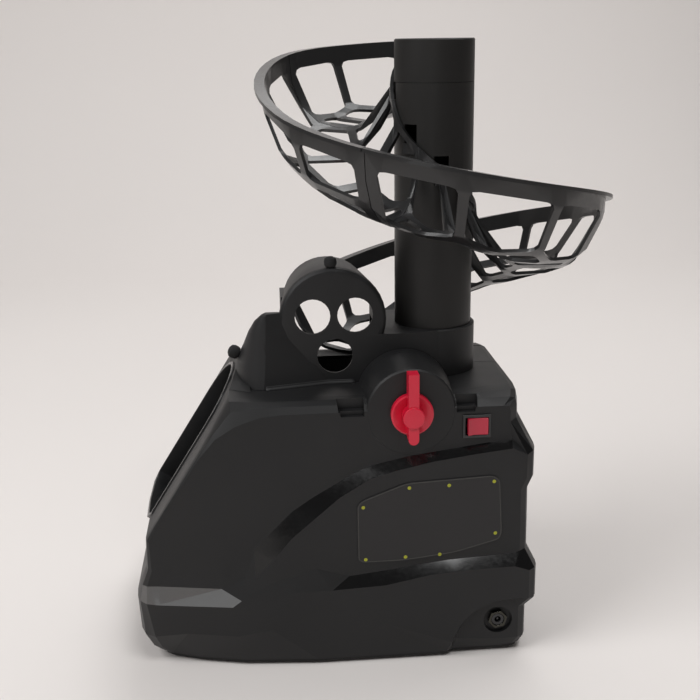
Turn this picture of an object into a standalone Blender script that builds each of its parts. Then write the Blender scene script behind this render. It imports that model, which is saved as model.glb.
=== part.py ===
"""Ball toss machine: spiral ball rail, feed hood, spring throw arm and motor drive.

Sizes are in millimetres and become metres through MM. +Z is up, the floor is z = 0,
the mouth faces -X and the control side faces -Y.
"""
import math

import bmesh
import bpy
from mathutils import Matrix, Vector
from mathutils.geometry import delaunay_2d_cdt

MM = 0.001

# Fits
GAP = 0.3
RUN_GAP = 0.35
RIB = 3.0

# Casing
CASE_WALL = 2.8
CASE_BOTTOM = 6.0
DECK_Z = 245.5
FRONT_X = -219.0
REAR_X = 138.3
UPPER_DEPTH = 97.0
LABEL_DEPTH = 105.0
LABEL_TOP_Z = 186.0
LABEL_LEAN = 0.036
SKIRT_DEPTH = 109.0
BOTTOM_DRAFT = 4.0
PANEL_DRAFT = 4.0
JACK_PANEL_DEPTH = 104.0
CORNER_RUN = 17.0
FAR_EDGE = 60.0

# Base and feet
BASE_THICK = 3.2
FOOT_RADIUS = 11.0
FOOT_MID_X = -38.0
FOOT_X = 95.0
FOOT_Y = 78.0

# Column
COLUMN_X = 58.5
COLUMN_R = 35.0
COLUMN_BORE_R = 32.0
COLUMN_TOP = 540.0
CAP_HEIGHT = 36.0

# Rail
RIM_R = 157.0
FLANGE = 6.0
RAIL_WALL = 3.0
BOWL_DEPTH = 68.0
RAIL_INNER_R = 35.7
RAIL_INNER_DROP = 10.0
RAIL_FLOOR_MIN = 249.0
RAIL_JOINTS = (70.0, 146.0, 240.0, 334.0, 428.0, 508.0)
RAIL_JOINT_GAP = 0.28
STRUT = 8.0
RIM_BAND = 12.0
TAB_WIDTH = 12.4
TAB_HEIGHT = 9.0
TAB_REACH = 5.0
SLOT_RISE = 16.0

# Tower and hood
TOWER_HALF = 44.0
TOWER_WALL = 2.6
TOWER_TOP = 289.0
HOOD_X = -37.0
HOOD_Z = 302.0
HOOD_R = 47.7
HOOD_FAR_R = 41.0
HOOD_RIM_Y = -38.0
HOOD_BACK = 45.0
THROAT_TOP = 302.0
THROAT_Y = 5.0
THROAT_SHOULDER = 12.0
HOOD_HOLE_R = 15.7
HOOD_HOLES = [(-54.9, 306.8), (-17.4, 307.2), (-35.7, 270.7)]
COLLAR_R = 38.2

# Ball and throw arm
BALL_R = 37.0
ARM_X = -131.5
ARM_Z = 60.0
ARM_REST = 17.0
ARM_SWING = 50.0
ARM_LENGTH = 95.0
ARM_THICK = 10.0
ARM_WIDTH = 22.0
CUP_R = 26.0
CUP_HOLE_R = 18.0
CUP_HEIGHT = 7.0
PAD_HEIGHT = 3.0
SHAFT_R = 4.0

# Inner frames
FRAME_Y = 46.0
FRAME_THICK = 3.0
BUSH_WALL = 2.4
CHUTE_LEFT = -78.5
CHUTE_RIGHT = 4.5

# Gear train
SECTOR_TEETH = 40
DRIVE_PINION_TEETH = 16
SECTOR_MODULE = 2.0
WHEEL_TEETH = 48
MOTOR_PINION_TEETH = 12
WHEEL_MODULE = 1.5
SECTOR_Y = 54.0
GEAR_WIDTH = 7.0
WHEEL_Y = 63.0
WHEEL_WIDTH = 5.0
DRIVE_ANGLE = -5.0
MOTOR_ANGLE = -20.0
DRIVE_SHAFT_R = 3.0
GEAR_PLATE_Y = 72.0
MOTOR_R = 18.0
MOTOR_LENGTH = 56.0

# Throw spring
SPRING_TURNS = 10
SPRING_PITCH = 5.6
SPRING_R = 5.5
WIRE_R = 0.9
SPRING_Y = -66.0
LEVER_R = 30.0

# Feed gate
GATE_X = 6.3
GATE_Z = 238.0
GATE_LENGTH = 45.0

# Dial
DIAL_X = 25.0
DIAL_Z = 233.0
DIAL_R = 18.3
BOSS_R = 40.0
BOSS_BACK = 54.0
BOSS_FLARE = 2.0
BOSS_ARCH_BACK = 44.6
BOSS_PROUD = 0.25
POINTER_UP = 38.0
POINTER_DOWN = 24.4
POINTER_WIDTH = 9.0

# Switch
SWITCH_X = 81.7
SWITCH_Z = 218.5
SWITCH_W = 24.3
SWITCH_H = 21.0
ROCKER_W = 19.0
ROCKER_H = 15.0

# Power inlet
JACK_X = 102.9
JACK_Z = 34.4
JACK_RECESS_R = 13.0
JACK_BARREL_R = 5.5
JACK_NUT_R = 9.0
JACK_HOLE_R = 3.0

# Battery bay
DOOR_X = 97.0
DOOR_Y0 = 3.0
DOOR_Y1 = 60.0
DOOR_Z = 112.0
CELL_R = 13.0
CELL_LENGTH = 49.0
CELL_COUNT = 4

BOX_X = 84.0
BOX_Y = 0.5
BOX_TOP = 14.0
BOX_RIB = 8.0
CONTACT_THICK = 0.8
DOOR_HINGE_X = 130.6

# Circuit board
BOARD_X = 30.0
BOARD_Y = -92.0
BOARD_Z = 16.0
BOARD_W = 56.0
BOARD_D = 50.0

# Finger pockets beside the dial's boss: outer and inner end in x, their ledge and floor
POCKETS = [(-39.6, -15.6), (84.0, 64.0)]
POCKET_LEDGE = 235.5
POCKET_FLOOR = 231.5
# Rubber knobs on the hood and the wedge
TOP_KNOB_Y = -37.0
BUMPER_Y = -16.0
BUMPER_Z = 268.0

# Label
LABEL_THICK = 0.5
LABEL_OUTLINE = [(-23.1, 100.0), (-18.7, 97.0), (17.7, 97.0), (63.1, 102.2), (102.5, 113.0), (105.1, 119.8),
                 (102.0, 170.9), (95.7, 175.6), (19.3, 172.2), (-18.0, 157.8), (-23.5, 153.1)]

# Mouth: an arch in a sloping plane, given by its lower and upper ends
MOUTH_LOW = (-210.6, 121.5)
MOUTH_TOP = (-126.2, 253.4)
MOUTH_HALF = 52.0
MOUTH_RIM = 3.0
MOUTH_PROUD = 1.0
MOUTH_DEEP = 15.0
MOUTH_CUT_DEEP = 26.0
MOUTH_CUT_PROUD = 40.0

# Small drive parts
BUSH_R = SHAFT_R + RUN_GAP + BUSH_WALL
GATE_PIN_R = 1.6
GATE_SHAFT_R = 2.6
GATE_HALF = 38.0
MOTOR_NOSE_R = 5.5
MOTOR_SHAFT_R = 2.0
SECTOR_TEETH_BELOW = 8
LEVER_ANGLE = 10.0
LEVER_Y = -59.0
LEVER_THICK = 5.0
PIN_R = 2.0
HOOK_RISE = 8.0
BAR_R = 4.0
BUFFER_R = 6.8
STOP_ALONG = 30.0
REST_ALONG = 60.0
CHUTE_HALF = 42.2
CHUTE_WALL = 3.2
CHUTE_BOTTOM = 132.0
CHUTE_LEFT_BOTTOM = 192.0
ROCKER_TILT = 7.0

PARENTS = {}


def deg(angle):
    """Angle in degrees as radians."""
    return math.radians(angle)


def polar(centre, radius, angle):
    """Point at an angle in degrees round a centre, in a plane."""
    return (centre[0] + radius * math.cos(deg(angle)), centre[1] + radius * math.sin(deg(angle)))


def arc(centre, radius, start, end, steps):
    """Points along an arc, ends included."""
    return [polar(centre, radius, start + (end - start) * i / steps) for i in range(steps + 1)]


def hex_linear(code):
    """sRGB hex colour as linear RGBA."""
    values = [int(code[i:i + 2], 16) / 255 for i in (1, 3, 5)]
    linear = [v / 12.92 if v <= 0.04045 else ((v + 0.055) / 1.055) ** 2.4 for v in values]
    return (*linear, 1.0)


def material(name, code, roughness, metallic=0.0):
    """Principled material, made once for each name."""
    found = bpy.data.materials.get(name)
    if found:
        return found
    made = bpy.data.materials.new(name)
    made.use_nodes = True
    shader = made.node_tree.nodes["Principled BSDF"]
    shader.inputs["Base Color"].default_value = hex_linear(code)
    shader.inputs["Roughness"].default_value = roughness
    shader.inputs["Metallic"].default_value = metallic
    return made


FINISHES = {
    "matte_abs": ("#262626", 0.55),
    "tower_abs": ("#282828", 0.5),
    "column_abs": ("#2b2b2a", 0.45),
    "cap_abs": ("#2a2a2a", 0.5),
    "rail_pp": ("#2a2a28", 0.3),
    "bezel_abs": ("#1d1d1d", 0.35),
    "base_abs": ("#3a3532", 0.6),
    "rubber": ("#1f1f1f", 0.8),
    "red_abs": ("#c81e3c", 0.4),
    "switch_black": ("#1c1c1c", 0.4),
    "label_vinyl": ("#343233", 0.5),
    "nickel": ("#8c8a86", 0.3, 1.0),
    "steel": ("#9a9a98", 0.35, 1.0),
    "zinc_steel": ("#a9a9a4", 0.4, 1.0),
    "acetal": ("#e4e2da", 0.45),
    "bronze": ("#8a6a3c", 0.45, 1.0),
    "grey_abs": ("#4a4b4c", 0.55),
    "cell_wrap": ("#2f4a6a", 0.35),
    "board": ("#1f5a3a", 0.5),
}


def collect(name, bm, finish, pivot=None, parent=None, sharp=40.0):
    """Put a mesh into the scene with its origin on its pivot."""
    loose = [v for v in bm.verts if not v.link_faces]
    bmesh.ops.delete(bm, geom=loose, context="VERTS")
    bmesh.ops.recalc_face_normals(bm, faces=bm.faces)
    origin = Vector(pivot) * MM if pivot else Vector((0, 0, 0))
    bmesh.ops.scale(bm, vec=(MM, MM, MM), verts=bm.verts)
    bmesh.ops.translate(bm, vec=-origin, verts=bm.verts)
    mesh = bpy.data.meshes.new(name)
    bm.to_mesh(mesh)
    bm.free()
    mesh.shade_smooth()
    mesh.set_sharp_from_angle(angle=deg(sharp))
    made = bpy.data.objects.new(name, mesh)
    bpy.context.scene.collection.objects.link(made)
    holder = PARENTS[parent or "machine"]
    made.parent = holder
    made.location = origin - holder.location
    if finish:
        made.data.materials.append(material(finish, *FINISHES[finish]))
    return made


def holder(name, pivot):
    """Empty on a joint's axis that carries the pieces of one moving body."""
    made = bpy.data.objects.new(name, None)
    made.empty_display_size = 0.01
    made.location = Vector(pivot) * MM
    bpy.context.scene.collection.objects.link(made)
    PARENTS[name] = made
    return made


def add_prism(bm, outline, axis, low, high):
    """Extrude a plane outline along X, Y or Z. Outlines are (x, y), (x, z) or (y, z)."""
    def point(pair, level):
        return {"Z": (pair[0], pair[1], level), "Y": (pair[0], level, pair[1]),
                "X": (level, pair[0], pair[1])}[axis]
    lower = [bm.verts.new(point(p, low)) for p in outline]
    upper = [bm.verts.new(point(p, high)) for p in outline]
    count = len(outline)
    made = [bm.faces.new(lower), bm.faces.new(upper)]
    for i in range(count):
        j = (i + 1) % count
        made.append(bm.faces.new((lower[i], lower[j], upper[j], upper[i])))
    bmesh.ops.recalc_face_normals(bm, faces=made)
    return made


def add_box(bm, low, high):
    """Box between two corners."""
    outline = [(low[0], low[1]), (high[0], low[1]), (high[0], high[1]), (low[0], high[1])]
    return add_prism(bm, outline, "Z", low[2], high[2])


def add_turned(bm, profile, centre, axis="Z", steps=24, phase=0.0):
    """Turn a profile of (radius, height) round an axis. Radius 0 closes on the axis."""
    turn = {"Z": Matrix.Identity(3), "Y": Matrix.Rotation(deg(-90), 3, "X"),
            "X": Matrix.Rotation(deg(90), 3, "Y")}[axis]
    base = Vector(centre)
    rings = []
    for radius, height in profile:
        if radius == 0:
            rings.append([bm.verts.new(base + turn @ Vector((0, 0, height)))])
            continue
        ring = []
        for i in range(steps):
            a = math.tau * i / steps + deg(phase)
            spot = Vector((radius * math.cos(a), radius * math.sin(a), height))
            ring.append(bm.verts.new(base + turn @ spot))
        rings.append(ring)
    closed = profile[0][0] > 0
    pairs = list(zip(rings, rings[1:]))
    if closed:
        pairs.append((rings[-1], rings[0]))
    made = []
    for a, b in pairs:
        for i in range(steps):
            j = (i + 1) % steps
            corners = [a[i % len(a)], a[j % len(a)], b[j % len(b)], b[i % len(b)]]
            unique = list(dict.fromkeys(corners))
            if len(unique) > 2:
                made.append(bm.faces.new(unique))
    bmesh.ops.recalc_face_normals(bm, faces=made)
    return made


def rod(radius, low, high):
    """Profile of a plain rod with a small chamfer."""
    edge = min(0.5, radius * 0.2)
    return [(0, low), (radius - edge, low), (radius, low + edge), (radius, high - edge),
            (radius - edge, high), (0, high)]


def ring(inner, outer, low, high):
    """Profile of a plain ring."""
    return [(inner, low), (outer, low), (outer, high), (inner, high)]


def cutter(name, bm):
    """Mesh that only cuts others."""
    made = collect(name, bm, None)
    made.hide_render = True
    made.display_type = "WIRE"
    return made


def combine(target, other, operation, solver="EXACT"):
    """Add a Boolean to a piece."""
    step = target.modifiers.new(operation.title() + "_" + other.name, "BOOLEAN")
    step.operation = operation
    step.object = other
    step.solver = solver


def inside(point, outline):
    """Whether a point lies in a polygon."""
    x, y = point
    odd = False
    count = len(outline)
    for i in range(count):
        x0, y0 = outline[i]
        x1, y1 = outline[(i + 1) % count]
        if (y0 > y) != (y1 > y) and x < (x1 - x0) * (y - y0) / (y1 - y0) + x0:
            odd = not odd
    return odd


def edge_distance(point, outline):
    """Distance from a point to a polygon's edges."""
    best = 1e9
    p = Vector(point)
    count = len(outline)
    for i in range(count):
        a = Vector(outline[i])
        b = Vector(outline[(i + 1) % count])
        along = max(0.0, min(1.0, (p - a).dot(b - a) / max((b - a).length_squared, 1e-9)))
        best = min(best, (a + (b - a) * along - p).length)
    return best


def triangulate(outline, holes, lines, points):
    """Plane triangles inside an outline and outside its holes."""
    verts = [Vector(p) for p in outline]
    edges = [(i, (i + 1) % len(outline)) for i in range(len(outline))]
    for hole in holes:
        start = len(verts)
        verts += [Vector(p) for p in hole]
        edges += [(start + i, start + (i + 1) % len(hole)) for i in range(len(hole))]
    for line in lines:
        start = len(verts)
        verts += [Vector(p) for p in line]
        edges += [(start + i, start + i + 1) for i in range(len(line) - 1)]
    verts += [Vector(p) for p in points]
    found = delaunay_2d_cdt(verts, edges, [], 0, 1e-5)
    spots, faces = found[0], found[2]
    kept = []
    for face in faces:
        middle = sum((spots[i] for i in face), Vector((0, 0))) / len(face)
        if inside(middle, outline) and not any(inside(middle, hole) for hole in holes):
            kept.append(face)
    used = sorted({i for face in kept for i in face})
    index = {old: new for new, old in enumerate(used)}
    return [tuple(spots[i]) for i in used], [[index[i] for i in face] for face in kept]


def add_shell(bm, spots, faces, place, normal, thickness):
    """Thicken plane triangles that a function places in space."""
    front = [bm.verts.new(place(*p)) for p in spots]
    back = [bm.verts.new(place(*p) - normal(*p) * thickness) for p in spots]
    made = []
    rim = {}
    for face in faces:
        made.append(bm.faces.new([front[i] for i in face]))
        made.append(bm.faces.new([back[i] for i in reversed(face)]))
        for i in range(len(face)):
            a, b = face[i], face[(i + 1) % len(face)]
            key = (min(a, b), max(a, b))
            rim[key] = None if key in rim else (a, b)
    for pair in rim.values():
        if pair:
            a, b = pair
            made.append(bm.faces.new((front[b], front[a], back[a], back[b])))
    return made


# Casing halves

def label_depth(z):
    """Half width of the plane that carries the label, which leans in towards its foot."""
    return LABEL_DEPTH - (LABEL_TOP_Z - z) * LABEL_LEAN


# Outline of the side view, counter-clockwise: x, z, half width there, edge of the side wall as x and z,
# and how far the rounded corner runs in from the wall. A sixth entry is the edge on the far side, where
# the shoulder slopes away from y = FAR_EDGE.
CASE_OUTLINE = [
    (-165.0, CASE_BOTTOM, 89.5, (-165.0, CASE_BOTTOM), 24.0),
    (-126.0, CASE_BOTTOM, 99.0, (-126.0, CASE_BOTTOM), 28.0),
    (-60.0, CASE_BOTTOM, SKIRT_DEPTH - BOTTOM_DRAFT, (-60.0, CASE_BOTTOM), 30.0),
    (56.5, CASE_BOTTOM, SKIRT_DEPTH - BOTTOM_DRAFT, (56.5, CASE_BOTTOM), 24.0),
    (62.5, CASE_BOTTOM, JACK_PANEL_DEPTH - PANEL_DRAFT, (62.5, CASE_BOTTOM), 20.0),
    (108.0, CASE_BOTTOM, JACK_PANEL_DEPTH - PANEL_DRAFT, (106.0, CASE_BOTTOM), CORNER_RUN),
    (127.5, CASE_BOTTOM, JACK_PANEL_DEPTH - PANEL_DRAFT, (116.5, CASE_BOTTOM + 1.0), CORNER_RUN),
    (130.5, 15.0, JACK_PANEL_DEPTH, (121.5, 15.5), CORNER_RUN),
    (130.5, 45.0, JACK_PANEL_DEPTH, (121.5, 46.5), CORNER_RUN),
    (REAR_X, 55.5, SKIRT_DEPTH, (REAR_X - 9.0, 57.0), CORNER_RUN),
    (REAR_X, 86.0, SKIRT_DEPTH, (REAR_X - 9.0, 84.5), CORNER_RUN),
    (130.6, 101.5, label_depth(101.5), (121.6, 100.5), CORNER_RUN),
    (129.5, 159.0, label_depth(159.0), (120.5, 160.0), CORNER_RUN),
    (134.4, 170.0, label_depth(170.0), (125.4, 171.5), CORNER_RUN),
    (134.6, 197.0, label_depth(190.0), (125.2, 193.0), 19.0),
    (121.4, 224.5, UPPER_DEPTH, (111.2, 221.0), 26.0, (108.0, 219.0)),
    (123.0, 236.0, UPPER_DEPTH, (111.2, 231.0), 40.0, (107.0, 224.0)),
    (121.6, 243.4, UPPER_DEPTH, (109.5, 235.2), 40.0, (105.0, 227.0)),
    (116.5, DECK_Z, UPPER_DEPTH, (105.0, 235.8), 34.0, (101.0, 228.5)),
    (60.0, DECK_Z, UPPER_DEPTH, (60.0, 235.8), CORNER_RUN, (60.0, 217.5)),
    (-40.0, DECK_Z, UPPER_DEPTH, (-40.0, 235.8), CORNER_RUN, (-40.0, 217.5)),
    (-90.0, DECK_Z, UPPER_DEPTH, (-86.0, 235.8), CORNER_RUN, (-76.0, 217.5)),
    (-112.0, DECK_Z, UPPER_DEPTH, (-104.0, 234.2), 20.0, (-88.0, 216.5)),
    (-122.0, DECK_Z, UPPER_DEPTH, (-115.0, 230.8), 28.0, (-97.0, 214.0)),
    (-130.6, DECK_Z, UPPER_DEPTH, (-126.5, 226.5), 32.0, (-108.0, 210.5)),
    (-145.6, 222.0, UPPER_DEPTH, (-143.0, 216.0), 14.0, (-122.6, 201.0)),
    (-159.4, 200.6, UPPER_DEPTH, (-158.0, 198.5), 8.0, (-136.3, 182.0)),
    (-181.6, 166.0, UPPER_DEPTH, (-180.0, 165.0), 7.0, (-158.4, 150.0)),
    (-198.9, 139.0, UPPER_DEPTH, (-197.5, 138.0), 7.0, (-176.0, 127.0)),
    (-206.9, 126.0, UPPER_DEPTH, (-204.0, 124.5), 9.0, (-182.0, 116.0)),
    (-208.6, 98.0, UPPER_DEPTH, (-203.0, 97.5), 14.0, (-190.0, 98.5)),
    (-214.8, 82.5, 96.2, (-208.0, 82.5), 20.0),
    (FRONT_X, 68.0, 99.0, (FRONT_X + 10.0, 67.0), 28.0),
    (FRONT_X, 30.0, 93.0, (FRONT_X + 15.0, 31.0), 34.0),
    (-212.5, 14.0, 85.0, (-199.0, 15.0), 30.0),
    (-203.0, CASE_BOTTOM, 80.0, (-191.0, CASE_BOTTOM), 26.0),
]
BOTTOM_POINTS = 7


# Folds of the side wall, as x, z and half width.
UPPER_FOLD = [(-122.0, 88.0, 99.0), (-113.7, 112.5, UPPER_DEPTH), (-96.6, 129.7, UPPER_DEPTH),
              (-79.5, 146.7, UPPER_DEPTH), (-62.4, 158.4, UPPER_DEPTH), (-45.7, 168.3, UPPER_DEPTH),
              (-28.9, 178.0, UPPER_DEPTH), (-12.2, 186.1, UPPER_DEPTH), (22.8, 193.6, UPPER_DEPTH),
              (55.9, 198.0, UPPER_DEPTH), (96.2, 203.5, UPPER_DEPTH), (113.0, 204.5, UPPER_DEPTH)]
LOWER_FOLD = [(-113.0, 88.0, 100.8)] + [
    (x, z, label_depth(z)) for x, z in (
        (-97.0, 104.0), (-80.6, 124.0), (-60.0, 142.0), (-38.0, 161.0), (-12.0, 177.0), (10.2, 183.5),
        (42.8, 190.5), (77.8, 195.5), (112.0, 199.5))]
SKIRT_UPPER_FOLD = [(x, z, label_depth(z)) for x, z in ((-31.0, 84.4), (1.8, 88.3), (56.3, 95.4), (116.0, 98.5))]
SKIRT_LOWER_FOLD = [(-46.0, 74.0, 106.5), (0.8, 77.5, SKIRT_DEPTH), (41.5, 85.4, SKIRT_DEPTH),
                    (75.5, 88.0, SKIRT_DEPTH), (116.0, 89.1, SKIRT_DEPTH)]
FRONT_UPPER_FOLD = [(-198.0, 82.3, 96.9), (-143.3, 78.5, 100.6), (-126.0, 68.5, 106.2)]
FRONT_LOWER_FOLD = [(-200.0, 66.0, 100.4), (-134.0, 62.5, 106.0)]
WALL_POINTS = [(-170.0, 120.0, UPPER_DEPTH), (-120.0, 176.0, UPPER_DEPTH), (-60.0, 206.0, UPPER_DEPTH),
               (40.0, 210.0, UPPER_DEPTH), (-140.0, 108.0, UPPER_DEPTH), (-105.0, 66.0, 107.6),
               (-104.0, 80.0, 103.6), (-78.0, 74.0, 107.0), (-78.0, 88.0, 102.6), (-60.0, 82.0, 104.4),
               (-60.0, 94.0, label_depth(94.0)), (-100.0, 40.0, SKIRT_DEPTH), (0.0, 40.0, SKIRT_DEPTH),
               (-175.0, 35.0, 98.0), (-130.0, 34.0, 106.5)]
# Step round the recessed inlet panel: centre and radius of its curved corner.
PANEL_STEP = 3.0
PANEL_CORNER = (113.0, 3.0)
PANEL_RADIUS = 54.5


CORNER_STEPS = ((0.0, 0.0), (0.10, 0.42), (0.40, 0.80), (1.0, 1.0))


def case_rings(side):
    """Rings of points from the split plane out to the side wall."""
    rings = [[Vector((p[0], GAP / 2, p[1])) for p in CASE_OUTLINE]]
    for share_in, share_out in CORNER_STEPS:
        made = []
        for x, z, depth, edge, run, *far_edge in CASE_OUTLINE:
            if side > 0 and far_edge:
                edge = far_edge[0]
                run = depth - FAR_EDGE
            made.append(Vector((x + (edge[0] - x) * share_in, depth - run * (1 - share_out),
                                z + (edge[1] - z) * share_in)))
        rings.append(made)
    return rings


def case_half(name, side):
    """One moulded half of the casing: side is -1 near, +1 far."""
    rings = case_rings(side)
    bm = bmesh.new()
    loops = [[bm.verts.new((v.x, side * v.y, v.z)) for v in row] for row in rings]
    count = len(CASE_OUTLINE)
    for inner, outer in zip(loops, loops[1:]):
        for i in range(BOTTOM_POINTS - 1, count):
            j = (i + 1) % count
            bm.faces.new((inner[i], inner[j], outer[j], outer[i]))
    outline = [(v.x, v.z) for v in rings[-1]]
    depth_at = {(round(v.x, 3), round(v.z, 3)): v.y for v in rings[-1]}
    folds = [UPPER_FOLD, LOWER_FOLD, SKIRT_UPPER_FOLD, SKIRT_LOWER_FOLD, FRONT_UPPER_FOLD,
             FRONT_LOWER_FOLD]
    step_out = [(*polar(PANEL_CORNER, PANEL_RADIUS, a), SKIRT_DEPTH) for a in (165, 145, 125, 105, 88)]
    step_in = [(*polar(PANEL_CORNER, PANEL_RADIUS - PANEL_STEP, a), JACK_PANEL_DEPTH)
               for a in (163, 145, 125, 105, 86)]
    folds += [step_out, step_in]
    loose = WALL_POINTS + [(JACK_X, 15.0, JACK_PANEL_DEPTH)]
    for spot in [p for fold in folds for p in fold] + loose:
        depth_at[(round(spot[0], 3), round(spot[1], 3))] = spot[2]
    spots, faces = triangulate(outline, [], [[p[:2] for p in fold] for fold in folds],
                               [p[:2] for p in loose])
    edge = {(round(v.x, 3), round(v.z, 3)): loops[-1][i] for i, v in enumerate(rings[-1])}
    made = []
    for x, z in spots:
        key = (round(x, 3), round(z, 3))
        if key in edge:
            made.append(edge[key])
            continue
        depth = depth_at.get(key)
        if depth is None:
            near = min(depth_at, key=lambda k: (k[0] - x) ** 2 + (k[1] - z) ** 2)
            depth = depth_at[near]
        made.append(bm.verts.new((x, side * depth, z)))
    for face in faces:
        bm.faces.new([made[i] for i in face])
    piece = collect(name, bm, "matte_abs", sharp=25.0)
    shell = piece.modifiers.new("Wall", "SOLIDIFY")
    shell.thickness = CASE_WALL * MM
    shell.offset = -1.0
    shell.use_even_offset = True
    return piece


def base_outline(inset):
    """Plan of the casing's bottom edge, moved in."""
    rings = case_rings(-1)
    rear = [row[BOTTOM_POINTS - 1] for row in rings]
    front = [row[-1] for row in rings]
    side = rings[-1][:BOTTOM_POINTS - 1]
    half = [(v.x, v.y) for v in front] + [(v.x, v.y) for v in side] + [(v.x, v.y) for v in reversed(rear)]
    full = [(x, -y) for x, y in half] + [(x, y) for x, y in reversed(half)]
    moved = []
    for x, y in full:
        moved.append((x - math.copysign(inset, x), y - math.copysign(min(inset, abs(y)), y)))
    return moved


def mouth_frame():
    """Middle, up direction and outward normal of the mouth's plane, in x and z."""
    low = Vector(MOUTH_LOW)
    top = Vector(MOUTH_TOP)
    up = (top - low).normalized()
    normal = Vector((-up.y, up.x))
    return low, up, normal, (top - low).length


def mouth_outline(inset):
    """Arch in the mouth's plane as (across, up)."""
    length = mouth_frame()[3]
    half = MOUTH_HALF - inset
    spring_line = length - MOUTH_HALF * 0.9
    lower = [(-half, 12.0), (-half + 10, 2.0 + inset), (0, inset - 1.0), (half - 10, 2.0 + inset), (half, 12.0)]
    top = [(half * math.cos(deg(a)), spring_line + (MOUTH_HALF * 0.9 - inset) * math.sin(deg(a)))
           for a in range(0, 181, 15)]
    return lower + top


def mouth_prism(bm, inset, low, high):
    """Arch extruded along the mouth's normal."""
    base, up, normal, _ = mouth_frame()
    outline = mouth_outline(inset)
    rows = []
    for level in (low, high):
        row = []
        for across, along in outline:
            spot = base + up * along + normal * level
            row.append(bm.verts.new((spot.x, across, spot.y)))
        rows.append(row)
    return rows


def close_prism(bm, rows):
    """Faces of a prism between two rows."""
    count = len(rows[0])
    bm.faces.new(rows[0])
    bm.faces.new(rows[1])
    for i in range(count):
        j = (i + 1) % count
        bm.faces.new((rows[0][i], rows[0][j], rows[1][j], rows[1][i]))


def make_mouth():
    """Arched bezel and the cutter that opens the casing for it."""
    bm = bmesh.new()
    close_prism(bm, mouth_prism(bm, 0.0, -MOUTH_CUT_DEEP, MOUTH_CUT_PROUD))
    opening = cutter("mouth_cutter", bm)
    bm = bmesh.new()
    outer = mouth_prism(bm, GAP, -MOUTH_DEEP, MOUTH_PROUD)
    inner = mouth_prism(bm, GAP + MOUTH_RIM, -MOUTH_DEEP, MOUTH_PROUD)
    count = len(outer[0])
    for i in range(count):
        j = (i + 1) % count
        bm.faces.new((outer[0][i], outer[0][j], outer[1][j], outer[1][i]))
        bm.faces.new((inner[0][j], inner[0][i], inner[1][i], inner[1][j]))
        for k in (0, 1):
            bm.faces.new((outer[k][i], inner[k][i], inner[k][j], outer[k][j]))
    collect("mouth_bezel", bm, "bezel_abs")
    return opening


def make_pockets(near):
    """Stepped finger pockets in the shoulder on both sides of the dial's boss."""
    inside_y = [(DECK_Z - 1.2, UPPER_DEPTH - 19), (DECK_Z - 1.2, UPPER_DEPTH - 11),
                (DECK_Z - 4.0, UPPER_DEPTH - 5.0), (DECK_Z - 9.5, UPPER_DEPTH - 1.2),
                (POCKET_FLOOR - 3.0, UPPER_DEPTH - 1.2), (POCKET_FLOOR - 3.0, UPPER_DEPTH - 19)]
    for outer, inner in POCKETS:
        side = math.copysign(1.0, outer - inner)
        bm = bmesh.new()
        rows = [[bm.verts.new((x, -y, z)) for z, y in inside_y] for x in (outer + side * 2.5, inner - side * 3.0)]
        close_prism(bm, rows)
        combine(near, cutter("pocket_pad", bm), "UNION")
        for floor, depth, slant in ((POCKET_FLOOR, 4.5, 4.0), (POCKET_LEDGE, 11.0, 2.0)):
            bm = bmesh.new()
            outline = [(inner, floor), (outer - side * slant, floor), (outer, DECK_Z + 6), (inner, DECK_Z + 6)]
            add_prism(bm, outline, "Y", -UPPER_DEPTH - 5, -UPPER_DEPTH + depth)
            combine(near, cutter("pocket_cut", bm), "DIFFERENCE")


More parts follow.
